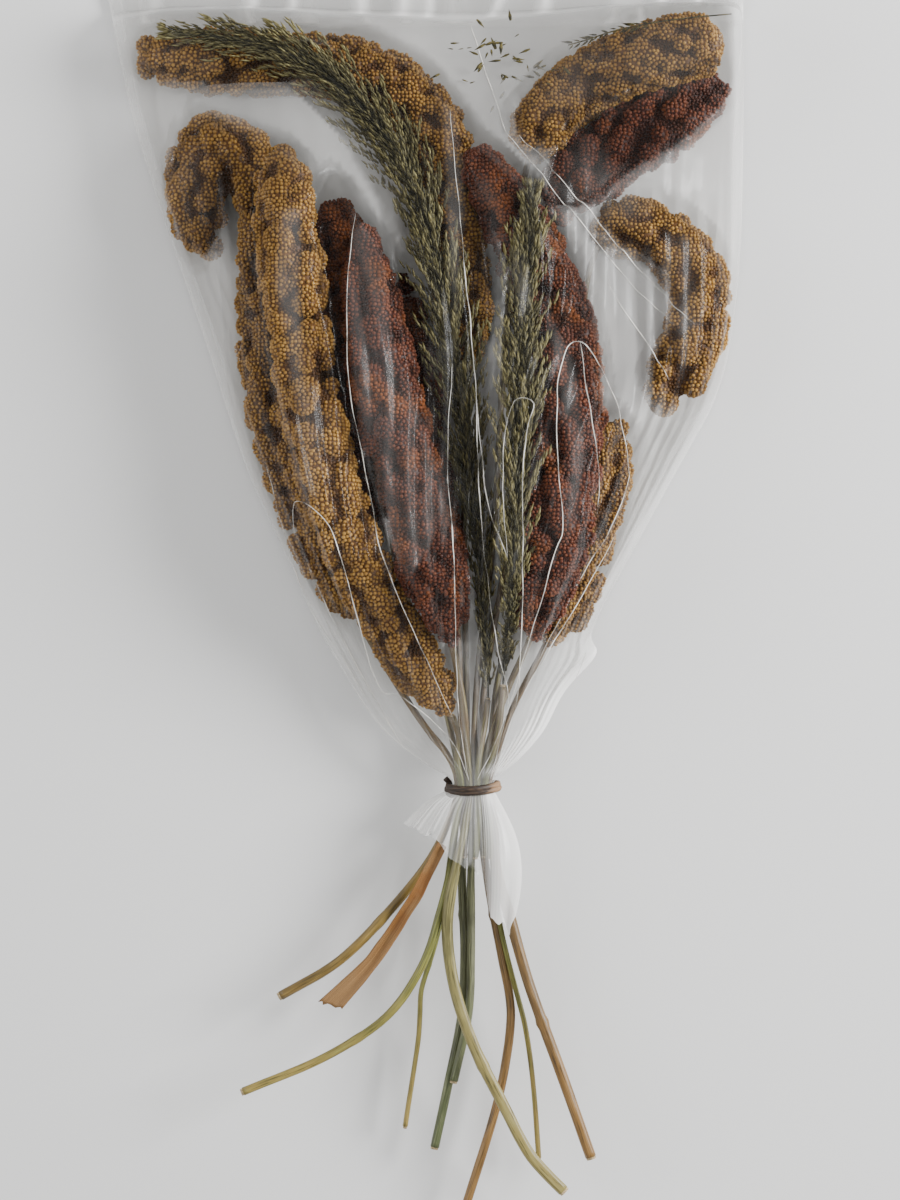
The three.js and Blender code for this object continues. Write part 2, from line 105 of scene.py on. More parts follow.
# The colour that each kind of stem turns to at its cut end, and that of all of them at the tie.
STEM_ENDS = {
    "olive_stem": (0.2, 0.1, 0.025),
    "green_stem": (0.27, 0.19, 0.045),
    "pale_stem": (0.25, 0.2, 0.06),
    "grey_stem": (0.065, 0.08, 0.026),
    "tan_stem": (0.2, 0.105, 0.024),
}
STEM_NECK = (0.12, 0.075, 0.03)
# Where the joints of a long stem lie, as shares of its length, and the least length of a long one.
JOINTS = (0.3, 0.74)
LONG_STEM = 120 * MM
# How far the leaf sheath goes on under the film's tail, past its CAD solid.
SHEATH_TUCK = 14 * MM
SHEATH_STRAW, SHEATH_BLOTCH = (0.3, 0.175, 0.07), (0.3, 0.165, 0.06)
# Loose husks, and where they lie from the tie: middle and spread, to the right and ahead.
CHAFF_COUNT = 46
CHAFF_RIGHT, CHAFF_AHEAD = (14, 15), (338, 8)
# Points round one turn of the tie.
TIE_POINTS = 40


# ---- Sizes and colours ----

def colour_property(name, description, default):
    return FloatVectorProperty(name=name, description=description, default=default,
                               subtype="COLOR", size=3, min=0, max=1)


def length_property(name, description, millimetres):
    return FloatProperty(name=name, description=description, default=millimetres * MM,
                         unit="LENGTH", subtype="DISTANCE", min=0, precision=5)


class MilletHeads(bpy.types.PropertyGroup):
    grain: length_property("Grain", "Width of one grain", 1.95)
    spacing: length_property("Spacing", "Least distance between grains", 1.52)
    cell: length_property("Cell", "Size of the cells that join a head's lobes", 1.7)
    golden: colour_property("Golden", "Middle colour of the golden grains", (0.2, 0.092, 0.013))
    # The tip colour is a painted highlight on each grain's tip.
    golden_tip_highlight: colour_property("Golden tips", "Colour of the golden grains' tips",
                                (0.47, 0.27, 0.065))
    # The depths colour is painted shade at the grains' bases and between lobes; it also darkens
    # random patches.
    golden_dark_and_shade: colour_property("Golden depths", "Colour between golden lobes",
                                 (0.05, 0.017, 0.004))
    red: colour_property("Red", "Middle colour of the red grains", (0.085, 0.019, 0.008))
    # The tip colour is a painted highlight on each grain's tip.
    red_tip_highlight: colour_property("Red tips", "Colour of the red grains' tips", (0.17, 0.052, 0.02))
    # The depths colour is painted shade at the grains' bases and between lobes; it also darkens
    # random patches.
    red_dark_and_shade: colour_property("Red depths", "Colour between red lobes", (0.012, 0.002, 0.0015))
    rust: colour_property("Rust", "Colour of the orange patches on the red heads",
                          (0.24, 0.07, 0.011))
    seed: IntProperty(name="Seed", description="Start of the random draws", default=7)


class GrassPlumes(bpy.types.PropertyGroup):
    spikelet: length_property("Spikelet", "Length of one spikelet", 4.6)
    branch: length_property("Branch", "Length of a side branch at the plume's middle", 24)
    step: length_property("Step", "Distance between side branches along the stalk", 1.05)
    husk: colour_property("Husk", "Middle colour of the spikelets", (0.115, 0.094, 0.03))
    edge: colour_property("Edge", "Colour of the spikelets' pale edges", (0.4, 0.36, 0.165))
    # The depths colour is painted shade inside the plume, and the dark colour of the loose chaff.
    dark_and_shade: colour_property("Depths", "Colour inside the plume", (0.02, 0.019, 0.01))
    seed: IntProperty(name="Seed", description="Start of the random draws", default=11)


class MilletStems(bpy.types.PropertyGroup):
    step: length_property("Step", "Distance between a stem's sections", 3)
    sides: IntProperty(name="Sides", description="Points round a stem", default=14)
    olive: colour_property("Olive", "Colour of the olive stem", (0.165, 0.105, 0.018))
    green: colour_property("Green", "Colour of the green stems", (0.14, 0.145, 0.022))
    pale: colour_property("Pale", "Colour of the pale yellow-green stems", (0.175, 0.155, 0.05))
    grey: colour_property("Grey", "Colour of the grey-green stems", (0.12, 0.125, 0.06))
    tan: colour_property("Tan", "Colour of the tan stems", (0.165, 0.092, 0.025))
    pith: colour_property("Pith", "Colour of the cut ends", (0.62, 0.47, 0.26))
    sheath: colour_property("Sheath", "Colour of the dry leaf sheath", (0.27, 0.11, 0.024))


class BagFilm(bpy.types.PropertyGroup):
    width: length_property("Width", "Width of the flat bag", 305)
    length: length_property("Length", "Length of the flat bag", 457)
    pleats: IntProperty(name="Pleats", description="Pleats across the film", default=26)
    steepness: FloatProperty(name="Steepness", description="Steepest slope of the pleats",
                             default=1.7)
    crease: length_property("Creases", "Width of the pinched creases", 0.6)
    haze: FloatProperty(name="Haze", description="Whiteness of the smooth film", default=0.004,
                        min=0, max=1)
    # The white of the film's haze, and of its painted reflections and highlights.
    sheen: colour_property("Sheen", "Colour of the film's haze", (0.93, 0.92, 0.9))


class NeckTie(bpy.types.PropertyGroup):
    turns: IntProperty(name="Turns", description="Turns of the band", default=2)
    # Dark is the band's own colour; light is its right side, lighter as painted light where the key
    # light falls.
    dark: colour_property("Dark", "Colour of the band's worn side", (0.02, 0.012, 0.008))
    light: colour_property("Light", "Colour of the band's other side", (0.28, 0.16, 0.08))


class MilletStage(bpy.types.PropertyGroup):
    floor: colour_property("Floor", "Colour of the table", (0.74, 0.74, 0.735))
    height: length_property("Camera height", "Height of the camera above the table", 1100)
    view: length_property("View", "Length of table that the camera sees", 564)
    key: FloatProperty(name="Key", description="Strength of the main light", default=66,
                       subtype="POWER", unit="POWER")
    fill: FloatProperty(name="Fill", description="Brightness of the surroundings", default=0.78)


GROUPS = {
    "millet_heads": MilletHeads,
    "grass_plumes": GrassPlumes,
    "millet_stems": MilletStems,
    "bag_film": BagFilm,
    "neck_tie": NeckTie,
    "millet_stage": MilletStage,
}


def settings(group):
    return getattr(bpy.context.scene, group)


# ---- Node expressions ----

class Wire:
    """A node's output that takes part in sums, each of which adds a Math node."""

    def __init__(self, tree, socket):
        self.tree, self.socket = tree, socket

    def _math(self, operation, *values):
        return self.tree.node("ShaderNodeMath", {"operation": operation}, dict(enumerate(values)))

    def __add__(self, other):
        return self._math("ADD", self, other)

    def __sub__(self, other):
        return self._math("SUBTRACT", self, other)

    def __rsub__(self, other):
        return self._math("SUBTRACT", other, self)

    def __mul__(self, other):
        return self._math("MULTIPLY", self, other)

    def larger(self, other):
        return self._math("MAXIMUM", self, other)

    def smaller(self, other):
        return self._math("MINIMUM", self, other)

    def ramp(self, low, high, start=0.0, end=1.0):
        """Start up to low, end from high on, and smooth between."""
        return self.tree.node("ShaderNodeMapRange", {"interpolation_type": "SMOOTHSTEP"},
                              {0: self, 1: low, 2: high, 3: start, 4: end})

    __radd__ = __add__
    __rmul__ = __mul__


class Tree:
    """A node tree, with the method that adds a node to it."""

    def __init__(self, tree):
        self.tree = tree

    def node(self, kind, choices=None, inputs=None, take=0):
        """Adds a node, sets its choices and then its sockets, and returns one of its outputs."""
        node = self.tree.nodes.new(kind)
        for name, value in (choices or {}).items():
            setattr(node, name, value)
        for name, value in (inputs or {}).items():
            if isinstance(value, Wire):
                self.tree.links.new(value.socket, node.inputs[name])
            else:
                node.inputs[name].default_value = value
        return Wire(self, node.outputs[take]) if len(node.outputs) else None

    def attribute(self, name, take="Fac"):
        return self.node("ShaderNodeAttribute", {"attribute_name": name}, take=take)

    def mix(self, factor, first, second):
        """One colour turning into another."""
        first, second = (wide(c) if isinstance(c, tuple) else c for c in (first, second))
        return self.node("ShaderNodeMix", {"data_type": "RGBA"}, {0: factor, 6: first, 7: second}, 2)

    def place(self):
        return self.node("ShaderNodeTexCoord", take="Object")

    def coordinate(self, axis):
        """How far along X, Y or Z, which are 0, 1 and 2, a place lies."""
        return self.node("ShaderNodeSeparateXYZ", None, {"Vector": self.place()}, axis)

    def noise(self, where, scale, detail=2.0, rough=0.5):
        return self.node("ShaderNodeTexNoise", None,
                         {"Vector": where, "Scale": scale, "Detail": detail, "Roughness": rough})

    def streaks(self, attribute, scale, detail, rough):
        """Noise that is stretched along an attribute of the surface."""
        where = self.node("ShaderNodeMapping", None,
                          {"Vector": self.attribute(attribute, "Vector"), "Scale": scale})
        return self.noise(where, 1.0, detail, rough)

    def bump(self, height, strength, distance):
        return self.node("ShaderNodeBump", None,
                         {"Height": height, "Strength": strength, "Distance": distance})


class Finish(Tree):
    """A new material's node tree."""

    def __init__(self, name):
        self.material = bpy.data.materials.new(name)
        self.material.use_nodes = True
        super().__init__(self.material.node_tree)
        self.tree.nodes.clear()

    def surface(self, shader):
        self.node("ShaderNodeOutputMaterial", None, {"Surface": shader})
        return self.material

    def principled(self, **sockets):
        names = {key.replace("_", " ").title().replace("Ior", "IOR"): value
                 for key, value in sockets.items()}
        return self.node("ShaderNodeBsdfPrincipled", None, names)


def rgb(colour):
    return tuple(colour)


def wide(colour):
    return (*colour, 1)


def darker(colour, share):
    return tuple(c * share for c in colour)


# ---- Shapes ----

def clamp(value):
    return min(1, max(0, value))


def merged(node):
    """A CAD node's mesh with its loose triangles joined."""
    shape = bmesh.new()
    shape.from_mesh(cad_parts[node].data)
    bmesh.ops.remove_doubles(shape, verts=shape.verts, dist=1e-6)
    shape.normal_update()
    return shape


def is_flat_end(vertex):
    first = vertex.link_faces[0].normal
    return all(first.dot(face.normal) > 0.9999 for face in vertex.link_faces)


class Route:
    """The line through the middles of a CAD tube's rings, and the tube's radius along it."""

    def __init__(self, points, radii):
        self.points, self.radii = points, radii
        self.lengths = [0.0]
        for a, b in zip(points, points[1:]):
            self.lengths.append(self.lengths[-1] + (b - a).length)
        self.length = self.lengths[-1]

    def within(self, distance, margin=0):
        """The distance, or the nearest one that is a margin away from both ends."""
        return min(max(distance, margin), self.length - margin)

    def _locate(self, distance):
        distance = self.within(distance)
        i = 0
        while i < len(self.points) - 2 and self.lengths[i + 1] < distance:
            i += 1
        span = self.lengths[i + 1] - self.lengths[i]
        return i, (distance - self.lengths[i]) / max(span, 1e-9)

    def at(self, distance):
        """The point at a distance along a smooth curve through the points."""
        i, t = self._locate(distance)
        p = [self.points[min(max(i + k, 0), len(self.points) - 1)] for k in (-1, 0, 1, 2)]
        return 0.5 * (2 * p[1] + (p[2] - p[0]) * t + (2 * p[0] - 5 * p[1] + 4 * p[2] - p[3]) * t * t
                      + (3 * p[1] - p[0] - 3 * p[2] + p[3]) * t ** 3)

    def radius(self, distance):
        i, t = self._locate(distance)
        return self.radii[i] + (self.radii[i + 1] - self.radii[i]) * t

    def axes(self, distance):
        """(along, to the side, upwards) at a distance."""
        along = (self.at(distance + MM) - self.at(distance - MM)).normalized()
        side = along.cross(UP).normalized()
        return along, side, side.cross(along)

    def turned(self):
        return Route(self.points[::-1], self.radii[::-1])


def route_of(node):
    """The route of a tube node, from its end nearest the tie."""
    shape = merged(node)
    ends = [v for v in shape.verts if len(v.link_edges) == 8]
    ends = ends or [v for v in shape.verts if is_flat_end(v)]
    seen, ring = {ends[0]}, [ends[0]]
    points, radii = [], []
    while ring:
        middle = sum((v.co for v in ring), Vector()) / len(ring)
        points.append(middle)
        radii.append(sum((v.co - middle).length for v in ring) / len(ring))
        around = dict.fromkeys(e.other_vert(v) for v in ring for e in v.link_edges)
        ring = [v for v in around if v not in seen]
        seen.update(ring)
    shape.free()
    route = Route(points, radii)
    return route if (points[0] - TIE).length < (points[-1] - TIE).length else route.turned()


def new_object(name, shape, *materials):
    """An object at the origin made from a bmesh."""
    mesh = bpy.data.meshes.new(name)
    shape.to_mesh(mesh)
    shape.free()
    piece = bpy.data.objects.new(name, mesh)
    bpy.context.scene.collection.objects.link(piece)
    for material in materials:
        mesh.materials.append(material)
    mesh.shade_smooth()
    return piece


def settle(piece):
    """Applies a piece's modifiers."""
    graph = bpy.context.evaluated_depsgraph_get()
    mesh = bpy.data.meshes.new_from_object(piece.evaluated_get(graph))
    piece.modifiers.clear()
    piece.data = mesh
    mesh.name = piece.name
    return piece


def finish_piece(piece, slot, *nodes):
    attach(piece, "root")
    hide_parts(*nodes)
    return piece


def only_verts(geometry):
    return [g for g in geometry if isinstance(g, bmesh.types.BMVert)]


def sweep(shape, route, sides, step, width, section=None):
    """Extrudes a ring along a route and closes its ends, which it returns. Width gives the radius at
    a distance, and section shapes the ring."""
    count = max(2, round(route.length / step))
    run = shape.verts.layers.float_vector.get("run") or shape.verts.layers.float_vector.new("run")
    ring = bmesh.ops.create_circle(shape, segments=sides, radius=1)["verts"]
    first = ring
    edges = list(dict.fromkeys(e for v in ring for e in v.link_edges))

    def lay(ring, distance):
        _, side, up = route.axes(distance)
        middle = route.at(distance)
        for k, vertex in enumerate(ring):
            angle = 2 * math.pi * k / sides
            out = width(distance) * (section(angle, distance) if section else 1)
            vertex.co = middle + side * (out * math.cos(angle)) + up * (out * math.sin(angle))
            vertex[run] = (angle / (2 * math.pi), distance, distance / route.length)

    def ordered(old, new):
        """The new ring's vertices in the old ring's order."""
        pairs = {}
        for vertex in new:
            for edge in vertex.link_edges:
                other = edge.other_vert(vertex)
                if other in old:
                    pairs[other] = vertex
        return [pairs[v] for v in old]

    lay(ring, 0.0)
    for k in range(1, count + 1):
        grown = bmesh.ops.extrude_edge_only(shape, edges=edges)["geom"]
        edges = [g for g in grown if isinstance(g, bmesh.types.BMEdge)]
        ring = ordered(ring, only_verts(grown))
        lay(ring, route.length * k / count)
    return [shape.faces.new(first), shape.faces.new(ring[::-1])]


def steer(shape):
    """Turns a closed shape's faces outwards."""
    bmesh.ops.recalc_face_normals(shape, faces=shape.faces)


def add_stalk(piece, route, sides, step, width):
    """Joins a stalk to a piece's spikelets."""
    stalk = bmesh.new()
    sweep(stalk, route, sides, step, width)
    steer(stalk)
    stalk.from_mesh(piece.data)
    stalk.to_mesh(piece.data)
    stalk.free()
    piece.data.shade_smooth()


def drop(tree, x, y):
    """The top of a shape at a place, or nothing beside it."""
    return tree.ray_cast(Vector((x, y, 1)), DOWN)[0]


# ---- Scattered grains and spikelets ----

def bead_object(name, shape, material):
    """A small shape to scatter, kept out of the scene."""
    mesh = bpy.data.meshes.new(name)
    shape.to_mesh(mesh)
    shape.free()
    mesh.materials.append(material)
    mesh.shade_smooth()
    return bpy.data.objects.new(name, mesh)


def grain_bead(material):
    """A domed grain of fifteen faces, whose tip value the finish uses for a painted highlight at the
    tip and painted shade at the base.
    """
    size = settings("millet_heads").grain
    shape = bmesh.new()
    bmesh.ops.create_icosphere(shape, subdivisions=1, radius=size / 2)
    lowest = min(shape.verts, key=lambda v: v.co.z)
    bmesh.ops.delete(shape, geom=[lowest], context="VERTS")
    tip = shape.verts.layers.float.new("tip")
    for vertex in shape.verts:
        vertex[tip] = clamp(0.5 + vertex.co.z / size)
    bmesh.ops.translate(shape, verts=shape.verts, vec=(0, 0, size * 0.12))
    return bead_object("grain", shape, material)


def spikelet_bead(material, length, width):
    """A slim pointed husk lying along Z, with a keel and pale edges."""
    shape = bmesh.new()
    bmesh.ops.create_cone(shape, cap_ends=False, segments=5, radius1=width * 0.32,
                          radius2=width * 0.5, depth=length * 0.38)
    bmesh.ops.translate(shape, verts=shape.verts, vec=(0, 0, length * 0.19))
    top = [v for v in shape.verts if v.co.z > length * 0.3]
    edges = [e for e in shape.edges if all(v in top for v in e.verts)]
    point = bmesh.ops.extrude_edge_only(shape, edges=edges)["geom"]
    verts = only_verts(point)
    bmesh.ops.translate(shape, verts=verts, vec=(0, 0, length * 0.62))
    bmesh.ops.scale(shape, verts=verts, vec=(0.02, 0.02, 1))
    bmesh.ops.remove_doubles(shape, verts=verts, dist=width * 0.2)
    bmesh.ops.scale(shape, verts=shape.verts, vec=(1, 0.62, 1))
    tip = shape.verts.layers.float.new("tip")
    for vertex in shape.verts:
        vertex[tip] = vertex.co.z / length * 0.6 + (0.4 if vertex.co.x > width * 0.2 else 0)
    steer(shape)
    return bead_object("spikelet", shape, material)


def spikelet_layers(shape):
    """Where each spikelet points, its size and its shade, which the plumes use for painted shade
    inside the plume.
    """
    layers = shape.verts.layers
    return layers.float_vector.new("aim"), layers.float.new("size"), layers.float.new("shade")


def scatter_tree(name, bead, spacing=None, seed=0):
    """Geometry nodes that put a bead all over a mesh's faces, or at each of its points."""
    group = bpy.data.node_groups.new(name, "GeometryNodeTree")
    group.interface.new_socket("Geometry", in_out="INPUT", socket_type="NodeSocketGeometry")
    group.interface.new_socket("Geometry", in_out="OUTPUT", socket_type="NodeSocketGeometry")
    tree = Tree(group)
    body = tree.node("NodeGroupInput")
    shape = tree.node("GeometryNodeObjectInfo", None, {"Object": bead}, take="Geometry")
    if spacing:
        points = tree.node("GeometryNodeDistributePointsOnFaces",
                           {"distribute_method": "POISSON", "use_legacy_normal": False},
                           {"Mesh": body, "Distance Min": spacing, "Density Max": 12 / spacing ** 2,
                            "Seed": seed})
        turn = Wire(tree, points.socket.node.outputs["Rotation"])
        size = tree.node("FunctionNodeRandomValue", {"data_type": "FLOAT"},
                         {2: 0.82, 3: 1.12, "Seed": seed}, take=1)
        tone = tree.node("FunctionNodeRandomValue", {"data_type": "FLOAT"}, {"Seed": seed + 1},
                         take=1)
    else:
        points = body
        aim, size, tone = (
            tree.node("GeometryNodeInputNamedAttribute", {"data_type": kind}, {"Name": label})
            for kind, label in (("FLOAT_VECTOR", "aim"), ("FLOAT", "size"), ("FLOAT", "shade")))
        turn = tree.node("FunctionNodeAlignRotationToVector", {"axis": "Z"}, {"Vector": aim})
    copies = tree.node("GeometryNodeInstanceOnPoints", None,
                       {"Points": points, "Instance": shape, "Rotation": turn, "Scale": size})
    # The stored value is a random tone for the grains, and each spikelet's painted shade for the
    # plumes.
    toned = tree.node("GeometryNodeStoreNamedAttribute",
                      {"data_type": "FLOAT", "domain": "INSTANCE"},
                      {"Geometry": copies, "Name": "tone", "Value": tone})
    made = tree.node("GeometryNodeRealizeInstances", None, {"Geometry": toned})
    join = tree.node("GeometryNodeJoinGeometry")
    for part in (body, made) if spacing else (made,):
        group.links.new(part.socket, join.socket.node.inputs[0])
    tree.node("NodeGroupOutput", None, {0: join})
    return group


def scatter(piece, bead, spacing=None, seed=0):
    """Covers a piece with beads."""
    modifier = piece.modifiers.new("Scatter", "NODES")
    modifier.node_group = scatter_tree(piece.name, bead, spacing, seed)
    settle(piece)
    piece.data.shade_smooth()


# ---- Heads ----

def grain_finish(name, middle, tip_highlight, dark_and_shade, furrow, patch=None):
    """Matt beads with a painted highlight at their tips and painted shade at their bases and between
    lobes, darker in random patches, with broad patches of another colour.
    """
    finish = Finish(name)
    tone, tip, crown = (finish.attribute(a) for a in ("tone", "tip", "crown"))
    broad = finish.noise(finish.place(), 38, 3)
    cluster = finish.noise(finish.place(), 95, 2)
    colour = middle
    if patch:
        colour = finish.mix(broad.ramp(0.5, 0.66), middle, patch)
    # Painted highlight: grains paler towards their tips, by a random amount.
    colour = finish.mix(tip.ramp(0.35, 0.95) * (tone * 0.6 + 0.25), colour, tip_highlight)
    # Painted shade: grains darker towards their bases, between the grains.
    colour = finish.mix(tip.ramp(0.0, 0.5, 0.3, 1.0), dark_and_shade, colour)
    # Darker in random patches.
    colour = finish.mix(cluster.ramp(0.3, 0.6, 0.6, 1.0), dark_and_shade, colour)
    # Painted shade in the furrows between lobes.
    colour = finish.mix(crown.ramp(0.08, 0.55, furrow, 1.0), dark_and_shade, colour)
    fine = finish.noise(finish.place(), 1900, 2)
    return finish.surface(finish.principled(
        base_color=colour, roughness=fine * 0.25 + 0.42, specular_ior_level=0.25,
        normal=finish.bump(fine, 0.25, 0.0002)))


def lobed_body(name, route, lobe, around, vary, broad, rng):
    """A head's body: a core and lobes in rings round the stalk, joined in one skin."""
    shape = bmesh.new()
    step = lobe * 1.55
    distance, turn = lobe * 0.6, rng.random() * math.tau
    while distance < route.length - lobe * 0.5:
        radius = route.radius(distance)
        along, side, up = route.axes(distance)
        middle = route.at(distance)
        core = max(radius - lobe * 1.25, radius * 0.42)
        for shift in (-1, 0, 1):
            spot = middle + side * (shift * radius * (broad - 1) * 0.9)
            bmesh.ops.create_icosphere(shape, subdivisions=2, radius=core,
                                       matrix=Matrix.Translation(spot))
        count = max(3, round(around * radius / FULL_RADIUS))
        for k in range(count):
            angle = turn + math.tau * (k + rng.uniform(-0.2, 0.2)) / count
            size = min(lobe, radius * 0.6) * rng.uniform(1 - vary, 1 + vary * 0.5)
            out = max(radius - size * rng.uniform(0.82, 1.12), radius * 0.25)
            spot = (middle + side * (out * broad * math.cos(angle)) + up * (out * math.sin(angle))
                    + along * (rng.uniform(-0.4, 0.4) * lobe))
            bmesh.ops.create_icosphere(shape, subdivisions=2, radius=size,
                                       matrix=Matrix.Translation(spot))
        ahead = route.axes(min(distance + step, route.length))[0]
        distance += step / (1 + 1.1 * radius * along.angle(ahead) / step)
        turn += LOBE_TURN
    piece = new_object(name, shape)
    remesh = piece.modifiers.new("Join", "REMESH")
    remesh.mode, remesh.voxel_size = "VOXEL", settings("millet_heads").cell
    return settle(piece)


def mark_crown(piece, passes=60):
    """Stores 1 on the lobes and 0 in the furrows, by how far smoothing would move each point."""
    mesh = piece.data
    count = len(mesh.vertices)
    spots, normals = np.empty(count * 3), np.empty(count * 3)
    ends = np.empty(len(mesh.edges) * 2, dtype=np.int32)
    mesh.vertices.foreach_get("co", spots)
    mesh.vertices.foreach_get("normal", normals)
    mesh.edges.foreach_get("vertices", ends)
    spots, normals, ends = spots.reshape(-1, 3), normals.reshape(-1, 3), ends.reshape(-1, 2)
    valence = np.bincount(ends.ravel(), minlength=count)[:, None]
    eased = spots.copy()
    for _ in range(passes):
        around = np.stack([np.bincount(ends[:, 0], eased[ends[:, 1], k], count)
                           + np.bincount(ends[:, 1], eased[ends[:, 0], k], count)
                           for k in range(3)], 1)
        eased = (eased + around / valence) / 2
    stand = ((spots - eased) * normals).sum(1)
    stand = (stand - np.median(stand)) / stand.std()
    crown = mesh.attributes.new("crown", "FLOAT", "POINT")
    crown.data.foreach_set("value", np.clip(0.55 + 0.4 * stand, 0, 1).astype(np.float32))


def make_heads(heads, material, slot):
    look = settings("millet_heads")
    bead = grain_bead(material)
    for number, (node, (lobe, around, vary, broad)) in enumerate(heads.items()):
        rng = random.Random(look.seed * 100 + number)
        route = route_of(node)
        piece = lobed_body("millet_" + node, route, lobe * MM, around, vary, broad, rng)
        piece.data.materials.append(material)
        mark_crown(piece)
        scatter(piece, bead, look.spacing, seed=number)
        finish_piece(piece, slot, node)


class MILLET_OT_golden_heads(bpy.types.Operator):
    """Builds the golden millet heads"""
    bl_idname = "millet.golden_heads"
    bl_label = "Golden Heads"

    def execute(self, context):
        look = settings("millet_heads")
        material = grain_finish("golden_grain", rgb(look.golden), rgb(look.golden_tip_highlight),
                                rgb(look.golden_dark_and_shade), 0.1)
        make_heads(GOLDEN_HEADS, material, "golden_grain")
        return {"FINISHED"}


class MILLET_OT_red_heads(bpy.types.Operator):
    """Builds the red millet heads"""
    bl_idname = "millet.red_heads"
    bl_label = "Red Heads"

    def execute(self, context):
        look = settings("millet_heads")
        material = grain_finish("red_grain", rgb(look.red), rgb(look.red_tip_highlight), rgb(look.red_dark_and_shade),
                                0.3, rgb(look.rust))
        make_heads(RED_HEADS, material, "red_grain")
        return {"FINISHED"}


# ---- Plumes ----

def husk_finish():
    look = settings("grass_plumes")
    finish = Finish("grass_plume")
    tone, tip = finish.attribute("tone"), finish.attribute("tip")
    # Painted shade: darker inside the plume, by each spikelet's stored shade.
    colour = finish.mix(tone.ramp(0.0, 1.0), rgb(look.dark_and_shade), rgb(look.husk))
    # Pale edges, dimmed inside the plume by the same painted shade.
    colour = finish.mix(tip.ramp(0.3, 0.9) * (tone * 0.8 + 0.2), colour, rgb(look.edge))
    fine = finish.noise(finish.place(), 2200, 2)
    return finish.surface(finish.principled(
        base_color=colour, roughness=fine * 0.2 + 0.5, specular_ior_level=0.3,
        normal=finish.bump(fine, 0.2, 0.0002)))


def spikelet_points(route, rng, spread):
    """A point for each spikelet, on side branches that lean forward from the stalk."""
    look = settings("grass_plumes")
    shape = bmesh.new()
    aim, size, shade = spikelet_layers(shape)
    widest = max(route.radii)
    distance = 4 * MM
    while distance < route.length - 2 * MM:
        along, side, up = route.axes(distance)
        radius = max(route.radius(min(distance + 8 * MM, route.length)), 2.2 * MM) * spread
        full = radius / (widest * spread)
        angle = rng.random() * math.tau
        out = side * math.cos(angle) + up * (math.sin(angle) * PLUME_HEIGHT)
        length = look.branch * (0.35 + 0.65 * full) * rng.uniform(0.7, 1.1)
        lean = math.asin(min(0.9, radius * rng.uniform(0.15, 1.15) / length))
        steps = max(3, int(length / (1.5 * MM)))
        for k in range(steps):
            share = (k + 0.5) / steps
            centre = route.at(min(distance + length * share, route.length + 2 * MM))
            reach = length * math.sin(lean) * share ** 0.8
            spot = (centre + out * reach + side * rng.gauss(0, 0.5 * MM)
                    + up * rng.gauss(0, 0.4 * MM))
            heading = (along + out * (0.16 + 0.2 * rng.random())
                       + side * rng.uniform(-0.28, 0.28) + up * rng.uniform(-0.16, 0.16))
            vertex = shape.verts.new(spot)
            vertex[aim] = heading.normalized()
            vertex[size] = rng.uniform(0.7, 1.15)
            # Painted shade: spikelets nearer the plume's middle are darker, with a random spread.
            depth = (spot - centre).length / max(radius, MM)
            vertex[shade] = clamp(0.15 + 0.75 * depth + rng.uniform(-0.25, 0.25))
        distance += look.step * rng.uniform(0.6, 1.4) * (0.55 if full > 0.6 else 0.9)
    return shape


class MILLET_OT_plumes(bpy.types.Operator):
    """Builds the two grass plumes"""
    bl_idname = "millet.plumes"
    bl_label = "Grass Plumes"

    def execute(self, context):
        look = settings("grass_plumes")
        material = husk_finish()
        bead = spikelet_bead(material, look.spikelet, look.spikelet * 0.29)
        for number, (node, spread) in enumerate(PLUME_SPREAD.items()):
            rng = random.Random(look.seed + number)
            route = route_of(node)
            piece = new_object("spray_" + node, spikelet_points(route, rng, spread))
            scatter(piece, bead)
            add_stalk(piece, route, 7, 6 * MM, lambda d: max(0.6 * MM, 0.18 * route.radius(d)))
            finish_piece(piece, "grass_plume", node)
        return {"FINISHED"}


# ---- Stems ----

def stem_finish(name, colour, end):
    """A dry straw: lengthwise streaks, darker blotches, and a greener or browner end."""
    finish = Finish(name)
    streak = finish.streaks("run", (26, 55, 0), 3, 0.6)
    blotch = finish.noise(finish.place(), 60, 3)
    ahead = finish.coordinate(1)
    light = tuple(min(1, c * 1.7 + 0.03) for c in colour)
    body = finish.mix(blotch.ramp(0.38, 0.62), colour, darker(colour, 0.66))
    body = finish.mix((ahead + blotch * 0.08).ramp(-0.21, -0.12, 1.0, 0.0), body, end)
    body = finish.mix(ahead.ramp(TIE.y + 2 * MM, TIE.y + 26 * MM), body, STEM_NECK)
    body = finish.mix(streak.ramp(0.52, 0.68) * 0.7, body, light)
    body = finish.mix(streak.ramp(0.47, 0.36), body, darker(colour, 0.3))
    return finish.surface(finish.principled(
        base_color=body, roughness=streak * 0.2 + 0.34, specular_ior_level=0.5,
        normal=finish.bump(streak, 0.5, 0.0003)))


def pith_finish():
    look = settings("millet_stems")
    finish = Finish("stem_pith")
    grain = finish.noise(finish.place(), 1500, 3)
    colour = finish.mix(grain.ramp(0.35, 0.65), rgb(look.pith), darker(look.pith, 0.45))
    return finish.surface(finish.principled(base_color=colour, roughness=0.8,
                                            normal=finish.bump(grain, 0.5, 0.0003)))


